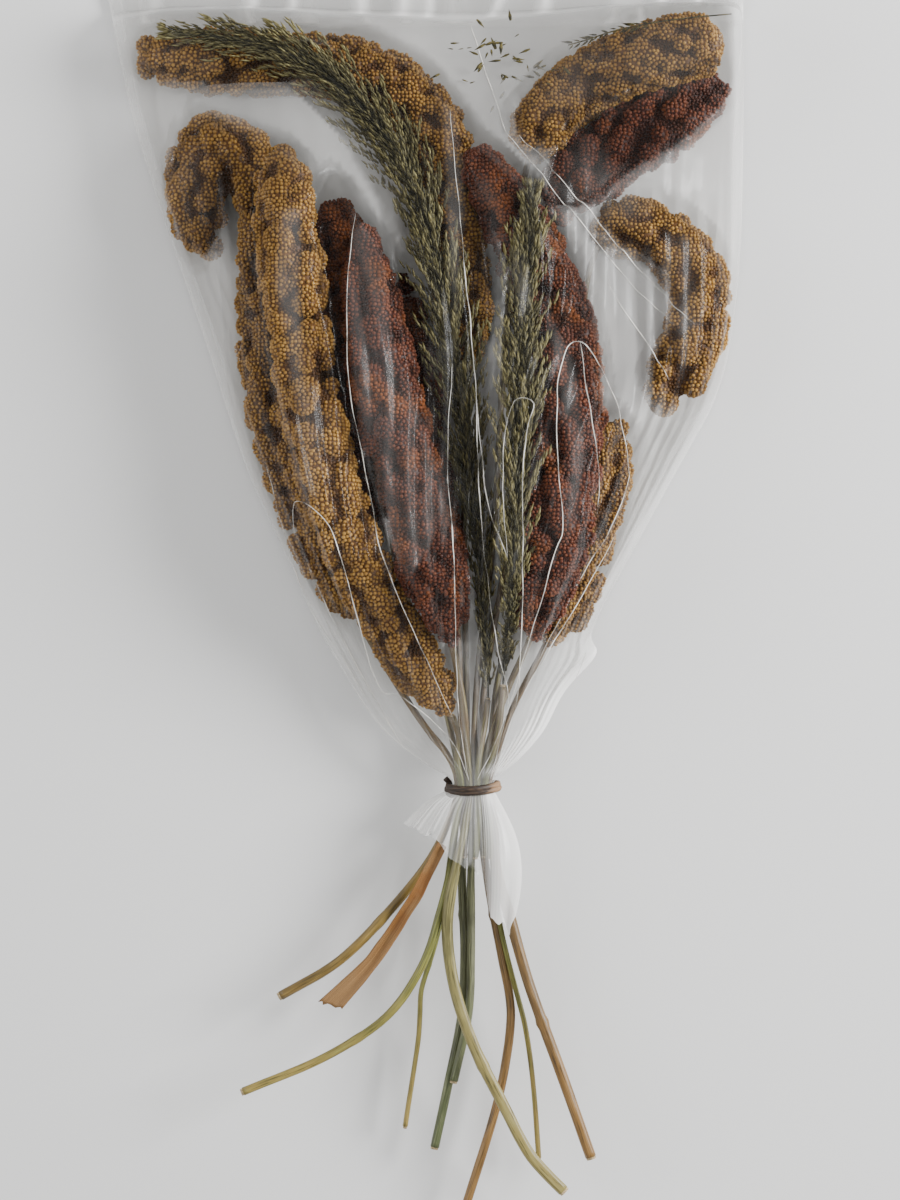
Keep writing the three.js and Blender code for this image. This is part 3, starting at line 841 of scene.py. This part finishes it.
def stem_shape(route, rng, sides, step, joints, spread):
    """A ribbed straw with swollen joints and a hollow cut end."""
    shape = bmesh.new()
    ribs = [(k, rng.uniform(0.02, 0.05), rng.random() * math.tau) for k in (2, 3, 5)]
    twist = rng.uniform(-6, 6)

    def section(angle, distance):
        below = clamp((TIE.y - 14 * MM - route.at(distance).y) / (36 * MM))
        pressed = 1 + (spread - 1) * below * math.cos(angle) ** 2
        return pressed * (1 + sum(a * math.cos(k * angle + p + twist * distance)
                                  for k, a, p in ribs))

    def width(distance):
        swell = sum(0.22 * math.exp(-((distance - j) / (1.6 * MM)) ** 2) for j in joints)
        wander = 0.05 * noise.noise(Vector((distance * 40, ribs[0][2], 0)))
        return route.radius(route.within(distance, 6 * MM)) * (0.97 + swell + wander)

    caps = sweep(shape, route, sides, step, width, section)
    steer(shape)
    for cap in caps:
        cap.material_index = 1
        bmesh.ops.inset_region(shape, faces=[cap], thickness=0.28 * MM, use_even_offset=True)
        inner = bmesh.ops.extrude_face_region(shape, geom=[cap])["geom"]
        bmesh.ops.translate(shape, verts=only_verts(inner), vec=cap.normal * -1.1 * MM)
        bmesh.ops.delete(shape, geom=[cap], context="FACES_ONLY")
    return shape


class MILLET_OT_stems(bpy.types.Operator):
    """Builds the millet stems and the plumes' stems"""
    bl_idname = "millet.stems"
    bl_label = "Stems"

    def execute(self, context):
        look = settings("millet_stems")
        pith = pith_finish()
        number = 0
        for slot, nodes in STEM_FINISHES.items():
            colour = getattr(look, slot.removesuffix("_stem"))
            material = stem_finish(slot, rgb(colour), STEM_ENDS[slot])
            extra = PLUME_STEMS if slot == "green_stem" else ()
            for node in nodes + extra:
                number += 1
                rng = random.Random(number)
                route = route_of(node)
                joints = [route.length * s for s in JOINTS] if route.length > LONG_STEM else []
                shape = stem_shape(route, rng, look.sides, look.step, joints,
                                   STEM_SPREAD.get(node, 1))
                piece = new_object("straw_" + node, shape, material, pith)
                finish_piece(piece, slot, node)
        return {"FINISHED"}


# ---- Leaf sheath, sprig and chaff ----

def middle_line(node, count):
    """Points down the middle of a CAD strip, from its end nearest the tie."""
    low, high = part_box(node)
    along = (high - low).normalized()
    points = [v.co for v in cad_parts[node].data.vertices]
    span = sorted(along.dot(p) for p in points)
    step = (span[-1] - span[0]) / count
    line = []
    for k in range(count):
        near = [p for p in points
                if abs(along.dot(p) - span[-1] + (k + 0.5) * step) <= step * 0.8]
        line.append(sum(near, Vector()) / len(near))
    ends = [line[0] + (line[0] - line[1]) * 0.5, line[-1] + (line[-1] - line[-2]) * 0.5]
    line = [ends[0]] + line + [ends[1]]
    return Route(line, [MM] * len(line))


def sheath_finish():
    look = settings("millet_stems")
    finish = Finish("leaf_sheath")
    vein = finish.streaks("run", (34, 14, 0), 2, 0.5)
    blotch = finish.noise(finish.place(), 75, 3)
    base = rgb(look.sheath)
    ahead = finish.coordinate(1)
    colour = finish.mix((ahead + blotch * 0.06).ramp(-0.15, -0.12), SHEATH_STRAW, base)
    colour = finish.mix(blotch.ramp(0.4, 0.66), colour, SHEATH_BLOTCH)
    colour = finish.mix(vein.ramp(0.36, 0.6), darker(base, 0.38), colour)
    return finish.surface(finish.principled(
        base_color=colour, roughness=vein * 0.25 + 0.4, specular_ior_level=0.35,
        normal=finish.bump(vein, 0.6, 0.0004)))


class MILLET_OT_sheath(bpy.types.Operator):
    """Builds the folded leaf sheath beside the stems"""
    bl_idname = "millet.sheath"
    bl_label = "Leaf Sheath"

    def execute(self, context):
        route = middle_line("leaf_sheath", 9)
        shape = bmesh.new()
        run = shape.verts.layers.float_vector.new("run")
        bmesh.ops.create_grid(shape, x_segments=8, y_segments=44, size=1)
        for vertex in shape.verts:
            across, share = vertex.co.x, (vertex.co.y + 1) / 2
            ragged = across * 0.9 + 0.8 * noise.noise(Vector((across * 3, 2, 0)))
            torn = 3.4 * MM * ragged * share ** 12
            distance = (route.length + SHEATH_TUCK) * share - SHEATH_TUCK + torn
            along, side, up = route.axes(route.within(distance))
            half = (2.4 + 1.5 * share + 1.3 * max(0, share - 0.72) / 0.28
                    + 0.3 * noise.noise(Vector((share * 9, across, 5)))) * MM
            curl = (abs(across) * (1.9 - 0.7 * share)
                    + 0.35 * math.sin(across * 5 + share * 7)) * MM
            beyond = min(0, distance) + max(0, distance - route.length)
            vertex.co = (route.at(route.within(distance)) + along * beyond
                         + side * (half * across) + up * curl)
            vertex[run] = (across, distance, share)
        bmesh.ops.solidify(shape, geom=shape.faces[:], thickness=0.35 * MM)
        steer(shape)
        piece = new_object("folded_leaf_sheath", shape, sheath_finish())
        finish_piece(piece, "leaf_sheath", "leaf_sheath")
        return {"FINISHED"}


def chaff_finish():
    """Dark dry husks."""
    look = settings("grass_plumes")
    finish = Finish("dark_chaff")
    fine = finish.noise(finish.place(), 700, 3)
    colour = finish.mix(fine.ramp(0.35, 0.65), rgb(look.dark_and_shade), rgb(look.husk))
    return finish.surface(finish.principled(base_color=colour, roughness=0.6,
                                            specular_ior_level=0.2))


class MILLET_OT_sprig(bpy.types.Operator):
    """Builds the loose sprig at the welded end, and the chaff that has fallen in the bag"""
    bl_idname = "millet.sprig"
    bl_label = "Loose Sprig"

    def execute(self, context):
        rng = random.Random(settings("grass_plumes").seed + 5)
        route = route_of("loose_sprig").turned()
        material = chaff_finish()
        bead = spikelet_bead(material, 4.6 * MM, 1.6 * MM)
        dots = bmesh.new()
        aim, size, shade = spikelet_layers(dots)

        def husk(spot, heading):
            vertex = dots.verts.new(spot)
            vertex[aim] = heading
            vertex[size] = rng.uniform(0.55, 1.35)
            vertex[shade] = rng.uniform(0, 0.2)

        distance = route.length * 0.5
        while distance < route.length:
            along, side, up = route.axes(distance)
            for turn in (-1, 1):
                if rng.random() < 0.85:
                    heading = (along + side * (turn * rng.uniform(0.25, 0.6))
                               + up * rng.uniform(-0.2, 0.2))
                    husk(route.at(distance) + side * (turn * rng.uniform(0.2, 0.9) * MM), heading)
            distance += rng.uniform(1.5, 4.2) * MM
        for _ in range(CHAFF_COUNT):
            spot = Vector((TIE.x + rng.gauss(*CHAFF_RIGHT) * MM,
                           TIE.y + rng.gauss(*CHAFF_AHEAD) * MM,
                           route.at(route.length).z + rng.uniform(-1, 0.5) * MM))
            heading = Vector((rng.uniform(-1, 1), rng.uniform(-0.6, 0.6), 0.05))
            husk(spot, heading)
        piece = new_object("loose_sprig_and_chaff", dots)
        scatter(piece, bead)
        add_stalk(piece, route, 6, 2 * MM, lambda d: 0.32 * MM)
        finish_piece(piece, "grass_plume", "loose_sprig")
        return {"FINISHED"}


# ---- Tie ----

def tie_finish():
    look = settings("neck_tie")
    finish = Finish("tie")
    fibre = finish.streaks("run", (9, 260, 0), 3, 0.6)
    # Painted light: the band is lighter on its right side, where the key light falls; elsewhere it
    # keeps its own dark colour.
    side = ((finish.coordinate(0) - TIE.x) * 90 + fibre * 0.9).ramp(0.95, 1.5)
    colour = finish.mix(side, rgb(look.dark), rgb(look.light))
    colour = finish.mix(fibre.ramp(0.4, 0.7) * 0.5, colour, darker(look.light, 0.4))
    return finish.surface(finish.principled(
        base_color=colour, roughness=fibre * 0.3 + 0.4, specular_ior_level=0.4,
        normal=finish.bump(fibre, 0.6, 0.0003)))


class MILLET_OT_tie(bpy.types.Operator):
    """Winds the band round the bag's neck"""
    bl_idname = "millet.tie"
    bl_label = "Neck Tie"

    def execute(self, context):
        turns = settings("neck_tie").turns
        size = (TIE_HIGH - TIE_LOW) / 2
        band = size.y
        points = []
        steps = TIE_POINTS * turns
        for k in range(steps + 7):
            angle = math.tau * k / TIE_POINTS + 2.6
            loose = 1 + 0.05 * math.sin(angle * 2 + k * 0.04)
            lift = ((k / steps - 0.5) * 2.9 * band + 0.9 * MM * math.cos(angle)
                    - 1.5 * MM * max(0, math.sin(angle)))
            points.append(Vector((TIE.x + (size.x - band * 0.8) * loose * math.cos(angle),
                                  TIE.y + lift,
                                  TIE.z + (size.z - band * 0.8) * loose * math.sin(angle))))
        end = points[-1]
        points += [end + Vector((-0.8, 0.9, 0.4)) * (k * 1.1 * MM) for k in (1, 2, 3)]
        route = Route(points, [band] * len(points))
        shape = bmesh.new()

        def section(angle, distance):
            return 0.82 + 0.2 * math.cos(2 * angle) + 0.06 * noise.noise(
                Vector((math.cos(angle), math.sin(angle), distance * 300)))

        sweep(shape, route, 10, 0.9 * MM, lambda d: 1.15 * band, section)
        steer(shape)
        piece = new_object("neck_band", shape, tie_finish())
        finish_piece(piece, "tie", "neck_tie")
        return {"FINISHED"}


# ---- Film ----

# Pinched creases of the front film, drawn as white ribs that are painted highlight lines as well as
# the whitening of creased film: points in millimetres to the right of the tie and towards the welded
# end, from the tie outwards.
CREASES = (
    ((-2, 4), (-6, 28), (-8, 60), (-9, 108), (-12, 150), (-10, 196)),
    ((-8, 30), (-24, 66), (-41, 107), (-50, 150), (-57, 190), (-57, 232), (-54, 266)),
    ((-2, 5), (-12, 25), (-33, 43), (-45, 50), (-60, 107), (-68, 125), (-82, 133), (-83, 118)),
    ((2, 4), (16, 38), (11, 66), (5, 107), (2, 150), (1, 184), (-4, 240), (-11, 315)),
    ((8, 4), (20, 40), (22, 106), (22, 140), (24, 165), (27, 177), (19, 178), (14, 163), (13, 140),
     (15, 107)),
    ((15, 107), (6, 135), (1, 184)),
    ((8, 4), (18, 43), (36, 107), (40, 120), (38, 150), (38, 184), (42, 202), (49, 206), (55, 200),
     (66, 176), (72, 151), (71, 140), (62, 118), (51, 101), (30, 60)),
    ((49, 206), (51, 184), (55, 162), (58, 140), (57, 131)),
    ((10, 5), (22, 42), (54, 96), (66, 118)),
    ((15, 302), (38, 275), (71, 237), (94, 215)),
    ((21, 302), (54, 267), (78, 240), (103, 215)),
    ((15, 302), (5, 336), (-1, 359)),
    ((-40, 24), (-62, 62), (-80, 91), (-96, 150)),
    ((-30, 14), (-56, 60), (-74, 98)),
    ((14, 10), (32, 40), (50, 60), (53, 63), (40, 34), (20, 10)),
    ((62, 234), (76, 214), (91, 190)),
)
# The films' grid, and how often it is smoothed.
COLUMNS, ROWS, EASINGS = 200, 215, 14
# From the end of the bag to the inner edge of its weld.
WELD = 22.5 * MM
# Length of the film's tail below the tie, in millimetres.
TAIL = 71
# Where the film lies folded on itself, cloudy white patches that are painted reflection: how cloudy,
# softness of the border in millimetres, and the outline, in the same measure as the creases.
FOLD_REFLECTIONS = (
    (0.036, 0.6, ((-56, 268), (-46, 252), (-40, 238), (-36, 205), (-22, 165), (-13, 131), (-20, 112),
                 (-30, 96), (-40, 120), (-48, 147), (-54, 178), (-57, 223))),
    (0.051, 1.6, ((-88, 262), (-78, 264), (-79, 205), (-72, 165), (-69, 135), (-76, 137), (-80, 178),
                 (-88, 227))),
    (0.039, 1.2, ((33, 225), (44, 200), (50, 160), (47, 124), (41, 112), (44, 150), (38, 190))),
    (0.036, 1.5, ((-14, 318), (-8, 316), (-5, 262), (-9, 205), (-12, 262))),
    (0.042, 0.6, ((18, 304), (60, 262), (104, 216), (96, 211), (54, 262), (15, 300))),
    (0.03, 3.0, ((5, 282), (14, 262), (28, 225), (22, 222), (10, 250), (0, 278))),
    (0.018, 5.0, ((-172, 348), (-140, 350), (-118, 338), (-124, 324), (-160, 324))),
    (0.018, 7.0, ((-148, 300), (-122, 292), (-118, 262), (-138, 250), (-150, 275))),
    (0.012, 8.0, ((-110, 314), (-92, 318), (-64, 318), (-58, 292), (-72, 274), (-95, 288))),
    (0.033, 6.0, ((46, 298), (84, 276), (80, 266), (60, 264), (40, 282))),
    (0.03, 2.5, ((88, 256), (100, 256), (106, 215), (98, 195), (88, 220))),
    (0.03, 3.0, ((-20, 200), (-12, 206), (-8, 120), (-14, 110))),
    (0.6, 1.6, ((4, 6), (22, 26), (40, 48), (54, 64), (46, 44), (28, 18), (14, 6))),
    (0.048, 3.0, ((-4, 6), (-28, 26), (-54, 60), (-74, 100), (-66, 60), (-40, 26), (-14, 6))),
    (0.048, 4.0, ((20, 30), (52, 80), (68, 118), (78, 130), (70, 92), (44, 44))),
    (0.03, 6.0, ((22, 312), (46, 345), (88, 356), (124, 352), (120, 334), (70, 318))),
)


# A place and eight about it.
AROUND = ((0, 0), (1, 0), (-1, 0), (0, 1), (0, -1), (0.6, 0.6), (-0.6, -0.6), (0.6, -0.6),
          (-0.6, 0.6))


def inside(x, y, outline):
    """Whether a point is inside an outline."""
    hit = False
    for (ax, ay), (bx, by) in zip(outline, outline[1:] + outline[:1]):
        if (ay > y) != (by > y) and x < (bx - ax) * (y - ay) / (by - ay) + ax:
            hit = not hit
    return hit


def folded(right, ahead):
    """How cloudy white the folds make the film at a place, a whiteness that is painted reflection.
    """
    milk = 0.0
    wander = noise.noise(Vector((right * 0.05, ahead * 0.05, 8))) * 3
    for strength, soft, outline in FOLD_REFLECTIONS:
        xs, ys = zip(*outline)
        reach = soft + 3
        if not (min(xs) - reach < right < max(xs) + reach
                and min(ys) - reach < ahead < max(ys) + reach):
            continue
        bend = wander * min(1, soft / 3)
        hits = sum(inside(right + bend + dx * soft, ahead + bend + dy * soft, outline)
                   for dx, dy in AROUND)
        milk += strength * hits / len(AROUND)
    return milk * (0.8 + 0.5 * noise.noise(Vector((right * 0.03, ahead * 0.012, 2))))


def film_finish():
    """Clear film that is glossy at a slant, and cloudy white where it is folded or gathered, a white
    that is partly painted reflection and painted highlight.
    """
    look = settings("bag_film")
    finish = Finish("bag_film")
    milk, near = finish.attribute("milk"), finish.attribute("near")
    rays = finish.streaks("gather", (3.2, 2.2, 0), 4, 0.62)
    crumple = finish.noise(finish.place(), 30, 3, 0.5)
    wrinkle = finish.bump(rays * near * 0.6 + crumple, 0.6, 0.002)
    streak = rays.ramp(0.53, 0.6) * rays.ramp(0.68, 0.6)
    # Painted highlight: whiter streaks radiating near the neck, and whiter spots where the film is
    # crumpled.
    haze = milk + look.haze + streak * near * 0.05 + crumple.ramp(0.55, 0.8) * 0.012
    slant = finish.node("ShaderNodeFresnel", None, {"IOR": 1.5, "Normal": wrinkle})
    clear = finish.node("ShaderNodeBsdfTransparent", None, {"Color": (0.99, 0.99, 0.985, 1)})
    shine = finish.node("ShaderNodeBsdfGlossy", None, {"Roughness": 0.11, "Normal": wrinkle})
    gloss = ((slant - 0.036) * 0.55).larger(0.003).smaller(0.6)
    film = finish.node("ShaderNodeMixShader", None, {0: gloss, 1: clear, 2: shine})
    white = finish.principled(base_color=wide(look.sheen), roughness=0.3, specular_ior_level=0.5,
                              normal=wrinkle)
    return finish.surface(finish.node("ShaderNodeMixShader", None,
                                      {0: haze.smaller(0.85), 1: film, 2: white}))


def crease_highlight_finish():
    """Film that is pinched white in places: painted highlight lines, and the whitening of creased
    film.
    """
    finish = Finish("pinched_film")
    grain = finish.noise(finish.place(), 60, 4, 0.6)
    clear = finish.node("ShaderNodeBsdfTransparent", None, {"Color": (0.97, 0.975, 0.97, 1)})
    white = finish.principled(base_color=(0.95, 0.92, 0.86, 1), roughness=0.22,
                              specular_ior_level=0.7)
    return finish.surface(finish.node("ShaderNodeMixShader", None,
                                      {0: grain.ramp(0.38, 0.62, 0.12, 0.85), 1: clear, 2: white}))


def side_line(corner, rows):
    """A film's vertices from a corner of its welded end, down one side to the tail."""
    line = [corner]
    while len(line) <= rows:
        around = [e.other_vert(line[-1]) for e in line[-1].link_edges if e.is_boundary]
        ahead = [v for v in around if v not in line and v.co.y < corner.co.y - 1e-6]
        line.append(ahead[0])
    return Route([v.co.copy() for v in reversed(line)], [1] * len(line))


def film_grid(node):
    """The upper face of a CAD film as a fine smooth sheet."""
    shape = merged(node)
    away = [f for f in shape.faces if f.normal.z < 0.002]
    bmesh.ops.delete(shape, geom=away, context="FACES")
    rim = [v for v in shape.verts if v.is_boundary]
    half = len(rim) / 2
    product = len(shape.verts) - half - 1
    rows = round((half + math.sqrt(half * half - 4 * product)) / 2)
    sides = [side_line(max(rim, key=lambda v: v.co.y + sign * v.co.x), rows) for sign in (-1, 1)]
    tree = BVHTree.FromBMesh(shape)
    shape.free()
    middles = [(a.y + b.y) / 2 for a, b in zip(sides[0].points, sides[1].points)]
    sheet = bmesh.new()
    weave = sheet.verts.layers.float_vector.new("weave")
    bmesh.ops.create_grid(sheet, x_segments=COLUMNS, y_segments=ROWS, size=1)
    for vertex in sheet.verts:
        across, share = vertex.co.x, (vertex.co.y + 1) / 2
        y = middles[0] + (middles[-1] - middles[0]) * share
        k = max(0, min(rows - 1, sum(m < y for m in middles) - 1))
        t = (y - middles[k]) / (middles[k + 1] - middles[k])
        left, right = (line.at(line.lengths[k] + t * (line.lengths[k + 1] - line.lengths[k]))
                       for line in sides)
        u = (across * 0.6 + math.sin(across * math.pi / 2) * 0.4 + 1) / 2
        spot = left.lerp(right, u)
        hit = drop(tree, spot.x, spot.y)
        vertex[weave] = (across, share, (right - left).length)
        vertex.co = (spot.x, spot.y, hit.z if hit else spot.z)
    inner = [v for v in sheet.verts if not v.is_boundary]
    for _ in range(EASINGS):
        bmesh.ops.smooth_vert(sheet, verts=inner, factor=0.5, use_axis_z=True)
    return new_object("clear_" + node, sheet)


def height_over(nodes):
    """A function that gives the top of some CAD nodes at a place, or nothing."""
    joined = bmesh.new()
    for node in nodes:
        joined.from_mesh(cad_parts[node].data)
    tree = BVHTree.FromBMesh(joined)
    joined.free()

    def height(x, y):
        spot = drop(tree, x, y)
        return spot.z if spot else None
    return height


def ridge(value):
    """Sharp where a smooth noise crosses nought."""
    return max(0.0, 1 - abs(value) * 5) ** 1.5


def pleats(across, share, width, seed):
    """Height of the pleats that take up the width lost towards the tie."""
    look = settings("bag_film")
    ratio = look.width / width
    lost = math.sqrt(max(ratio * ratio - 1, 0)) * clamp((ratio - 1.02) / 0.12)
    count = look.pleats / 2
    drift = 2.2 * noise.noise(Vector((across * 2.2, share * 2.6, seed)))
    phase = (across * count + drift) % 1
    uneven = 0.75 + 0.9 * noise.noise(Vector((across * 7, share * 3, seed + 4)))
    wave = width / (2 * count)
    return (1 - abs(2 * phase - 1)) * wave * min(lost, look.steepness) * 0.5 * max(0.3, uneven)


def tail_lobes(across):
    """How far a place belongs to the tail's left lobe, and to its twisted right one."""
    return clamp((-0.15 - across) / 0.3), clamp((across - 0.25) / 0.25)


def shape_tail(spot, across, held, pleat, sign):
    """Where a place on the film's tail goes, which flares from the tie in three lobes."""
    x, y, z = spot
    below = (TIE.y - y) / MM / TAIL
    left, twisted = tail_lobes(across)
    flutter = noise.noise(Vector((across * 2.6, below * 1.5, 7)))
    z += sign * pleat * (1 - 0.95 * twisted) + 4.5 * MM * held * below * flutter
    y = TIE.y + (y - TIE.y) * (0.74 + 0.22 * twisted - 0.16 * left
                               + 0.06 * noise.noise(Vector((across * 6, 3, 1))))
    puff = math.sin(math.pi * min(1, below)) * twisted
    x = TIE.x + (x - TIE.x) * (1 + 0.12 * left) - 5 * MM * twisted * below
    x += max(0, across - 0.4) * 12 * MM * puff
    z += sign * 4 * MM * puff * (1 - ((across - 0.72) / 0.4) ** 2)
    return x, y, z


def shape_film(piece, front):
    """Pleats, sags and ruffles a film, and marks where it is cloudy white: painted reflection,
    painted highlight and painted light, and its weld line.
    """
    contents = [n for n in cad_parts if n.split("_")[0] in ("golden", "red", "grass")]
    under = height_over(contents)
    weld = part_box("bag_front_film")[1].y - WELD
    gap = 1.5 * MM
    mesh = piece.data
    marks = {name: mesh.attributes.new(name, kind, "POINT") for name, kind in
             (("milk", "FLOAT"), ("near", "FLOAT"), ("gather", "FLOAT_VECTOR"))}
    sign = 1 if front else -1
    weave = [tuple(item.vector) for item in mesh.attributes["weave"].data]
    for i, vertex in enumerate(mesh.vertices):
        x, y, z = vertex.co
        across, share, width = weave[i]
        right, ahead = (x - TIE.x) / MM, (y - TIE.y) / MM
        away = math.hypot(right, ahead)
        edge = (1 - abs(across)) * width / 2 / MM
        held = min(1, edge / 6)
        pleat = pleats(across, share, width, 3 + sign) * held
        if ahead > 0:
            pleat *= clamp((ahead - 3) / 9)
            if front:
                top = under(x, y)
                if top is not None and z > top + gap:
                    z = max(top + gap, z - 0.3 * (z - top - gap) * held)
                z += (1.2 * MM * noise.noise(Vector((x * 45, y * 30, 4))) * held
                      * min(1, away / 60))
                if top is not None:
                    z = max(z, top + 1.2 * MM)
                z += pleat
                wing = math.exp(-((ahead - 58) / 9) ** 2) * max(0, (across - 0.5) / 0.5) ** 2
                x, y, z = x + 9 * MM * wing, y + 4 * MM * wing, z + 4 * MM * wing
            else:
                z = max(0.25 * MM, z) + pleat * 1.2
        else:
            pleat *= clamp((-ahead - 2) / 9)
            x, y, z = shape_tail((x, y, z), across, held, pleat, sign)
        crimp = ridge(noise.noise(Vector((x * 38, y * 8, 2 + sign)))) if y > weld else 0
        if y > weld:
            z += (sign * (1.6 * MM * crimp + 1.0 * MM * noise.noise(Vector((x * 60, y * 20, 5))))
                  * min(1, (y - weld) / (6 * MM)))
        vertex.co = (x, y, max(z, 0.1 * MM))
        # Painted reflection on the folds of the front film.
        milk = folded(right, ahead) if front else 0
        # Painted light: the front film whiter where no contents lie under it.
        if front and ahead > 30:
            reach = 7 * MM
            bare = sum(under(x + dx * reach, y + dy * reach) is None for dx, dy in
                       ((0, 0), (1, 0), (-1, 0), (0, 1), (0, -1), (0.5, 0.5), (-0.5, -0.5)))
            milk += 0.2 * (bare / 7) ** 3 * min(1, (ahead - 30) / 60)
        # Painted reflection: the gathered wing right of the neck whiter.
        if front:
            milk += 0.5 * math.exp(-((ahead - 42) / 22) ** 2) * max(0, (across - 0.6) / 0.4)
        # Painted reflection on the gathered film near the tie, and a painted highlight along the
        # film's edges.
        milk += 0.12 * math.exp(-away / 22) + 0.22 * math.exp(-edge / 1.6)
        # A second painted highlight line just inside the film's edges.
        milk += 0.1 * math.exp(-((edge - 9) / 1.2) ** 2) * (ahead > 20)
        # Painted reflection: the tail's lobes whiter.
        if ahead < 0:
            left, twisted = tail_lobes(across)
            milk += 0.12 + 0.16 * left + 0.4 * twisted
        # The weld line whiter, and a painted highlight on the crimped film past the weld.
        milk += 0.25 * math.exp(-((y - weld) / (1.3 * MM)) ** 2) + 0.5 * crimp
        near = min(1, math.exp(-(away - 25) / 90)) * (1 if ahead > 0 else 0.25)
        marks["milk"].data[i].value = milk
        marks["near"].data[i].value = near
        marks["gather"].data[i].vector = (across * 4, share * 4, 0)


def pinch(piece, material):
    """Adds the pinched creases as fine white ribs that follow the film: painted highlight lines, and
    the whitening of creased film.
    """
    look = settings("bag_film")
    shape = bmesh.new()
    shape.from_mesh(piece.data)
    tree = BVHTree.FromBMesh(shape)
    for crease in CREASES:
        points = []
        rough = Route([TIE + Vector((x, y, 0)) * MM for x, y in crease], [1] * len(crease))
        count = max(4, int(rough.length / (3 * MM)))
        for k in range(count + 1):
            spot = rough.at(rough.length * k / count)
            wander = noise.noise_vector(spot * 90) * 0.5 * MM
            hit = drop(tree, spot.x + wander.x, spot.y + wander.y)
            if hit:
                points.append(hit + Vector((0, 0, 0.15 * MM)))
        if len(points) < 3:
            continue
        route = Route(points, [1] * len(points))
        ribs = bmesh.new()
        sweep(ribs, route, 6, 2.2 * MM, lambda d: look.crease * 0.5 * (
            0.25 + 0.75 * math.sin(math.pi * clamp(d / route.length)) ** 0.5)
            * (0.75 + 0.5 * noise.noise(Vector((d * 60, len(points), 1)))))
        steer(ribs)
        for face in ribs.faces:
            face.material_index = 1
        passing = bpy.data.meshes.new("rib")
        ribs.to_mesh(passing)
        ribs.free()
        shape.from_mesh(passing)
        bpy.data.meshes.remove(passing)
    shape.to_mesh(piece.data)
    shape.free()
    piece.data.materials.append(material)
    piece.data.shade_smooth()


class MILLET_OT_film(bpy.types.Operator):
    """Drapes the bag's two films"""
    bl_idname = "millet.film"
    bl_label = "Bag Film"

    def execute(self, context):
        look = settings("bag_film")
        material = film_finish()
        for node, front in (("bag_back_film", False), ("bag_front_film", True)):
            piece = film_grid(node)
            piece.data.materials.append(material)
            shape_film(piece, front)
            if front:
                pinch(piece, crease_highlight_finish())
            finish_piece(piece, "bag_film", node)
        return {"FINISHED"}


# ---- Stage ----

# The camera's sensor in millimetres, and the height above the table at which the view is measured.
SENSOR = 36
LEVEL = 20 * MM


def floor_finish():
    finish = Finish("table")
    grain = finish.noise(finish.place(), 300, 4)
    shade = settings("millet_stage").floor
    colour = finish.mix(grain, rgb(shade), darker(shade, 0.985))
    return finish.surface(finish.principled(base_color=colour, roughness=0.7,
                                            specular_ior_level=0.2))


def area_light(name, spot, target, size, power):
    light = bpy.data.lights.new(name, "AREA")
    light.shape, light.size, light.energy = "DISK", size, power
    lamp = bpy.data.objects.new(name, light)
    lamp.location = spot
    lamp.rotation_euler = (Vector(target) - Vector(spot)).to_track_quat("-Z", "Y").to_euler()
    bpy.context.scene.collection.objects.link(lamp)


class MILLET_OT_stage(bpy.types.Operator):
    """Lays the table, and sets the lights and the camera"""
    bl_idname = "millet.stage"
    bl_label = "Stage"

    def execute(self, context):
        look = settings("millet_stage")
        shape = bmesh.new()
        bmesh.ops.create_grid(shape, x_segments=1, y_segments=1, size=6)
        floor = new_object("table_top", shape, floor_finish())
        target = (TIE.x - 10.8 * MM, TIE.y + 87.9 * MM, LEVEL)
        area_light("key_light", (1.5, 0.35, 0.85), target, 0.8, look.key)
        area_light("side_light", (-1.6, 0.3, 1.0), target, 1.2, look.key * 0.25)
        world = bpy.data.worlds.new("room")
        world.use_nodes = True
        sky = world.node_tree.nodes["Background"]
        sky.inputs["Color"].default_value = (1, 1, 1, 1)
        sky.inputs["Strength"].default_value = look.fill
        context.scene.world = world
        camera = bpy.data.cameras.new("camera")
        camera.sensor_width = SENSOR
        camera.lens = SENSOR * (look.height - LEVEL) / look.view
        eye = bpy.data.objects.new("camera", camera)
        eye.location = (target[0], target[1], look.height)
        context.scene.collection.objects.link(eye)
        context.scene.camera = eye
        return {"FINISHED"}


OPERATORS = (MILLET_OT_stage, MILLET_OT_golden_heads, MILLET_OT_red_heads, MILLET_OT_plumes,
             MILLET_OT_stems, MILLET_OT_sheath, MILLET_OT_sprig, MILLET_OT_tie, MILLET_OT_film)


class MILLET_PT_panel(bpy.types.Panel):
    """Lists the pieces of the bundle"""
    bl_idname = "MILLET_PT_panel"
    bl_label = "Dried Millet"
    bl_space_type = "VIEW_3D"
    bl_region_type = "UI"
    bl_category = "Millet"

    def draw(self, context):
        for group in GROUPS:
            box = self.layout.box()
            for name in GROUPS[group].__annotations__:
                box.prop(settings(group), name)
        for operator in OPERATORS:
            self.layout.operator(operator.bl_idname)


def register():
    for cls in (*GROUPS.values(), *OPERATORS, MILLET_PT_panel):
        bpy.utils.register_class(cls)
    for name, group in GROUPS.items():
        setattr(bpy.types.Scene, name, PointerProperty(type=group))


def unregister():
    for name in GROUPS:
        delattr(bpy.types.Scene, name)
    for cls in (MILLET_PT_panel, *reversed(OPERATORS), *reversed(tuple(GROUPS.values()))):
        bpy.utils.unregister_class(cls)


def main():
    register()
    for operator in OPERATORS:
        getattr(bpy.ops.millet, operator.bl_idname.split(".")[1])()


if __name__ == "__main__":
    main()
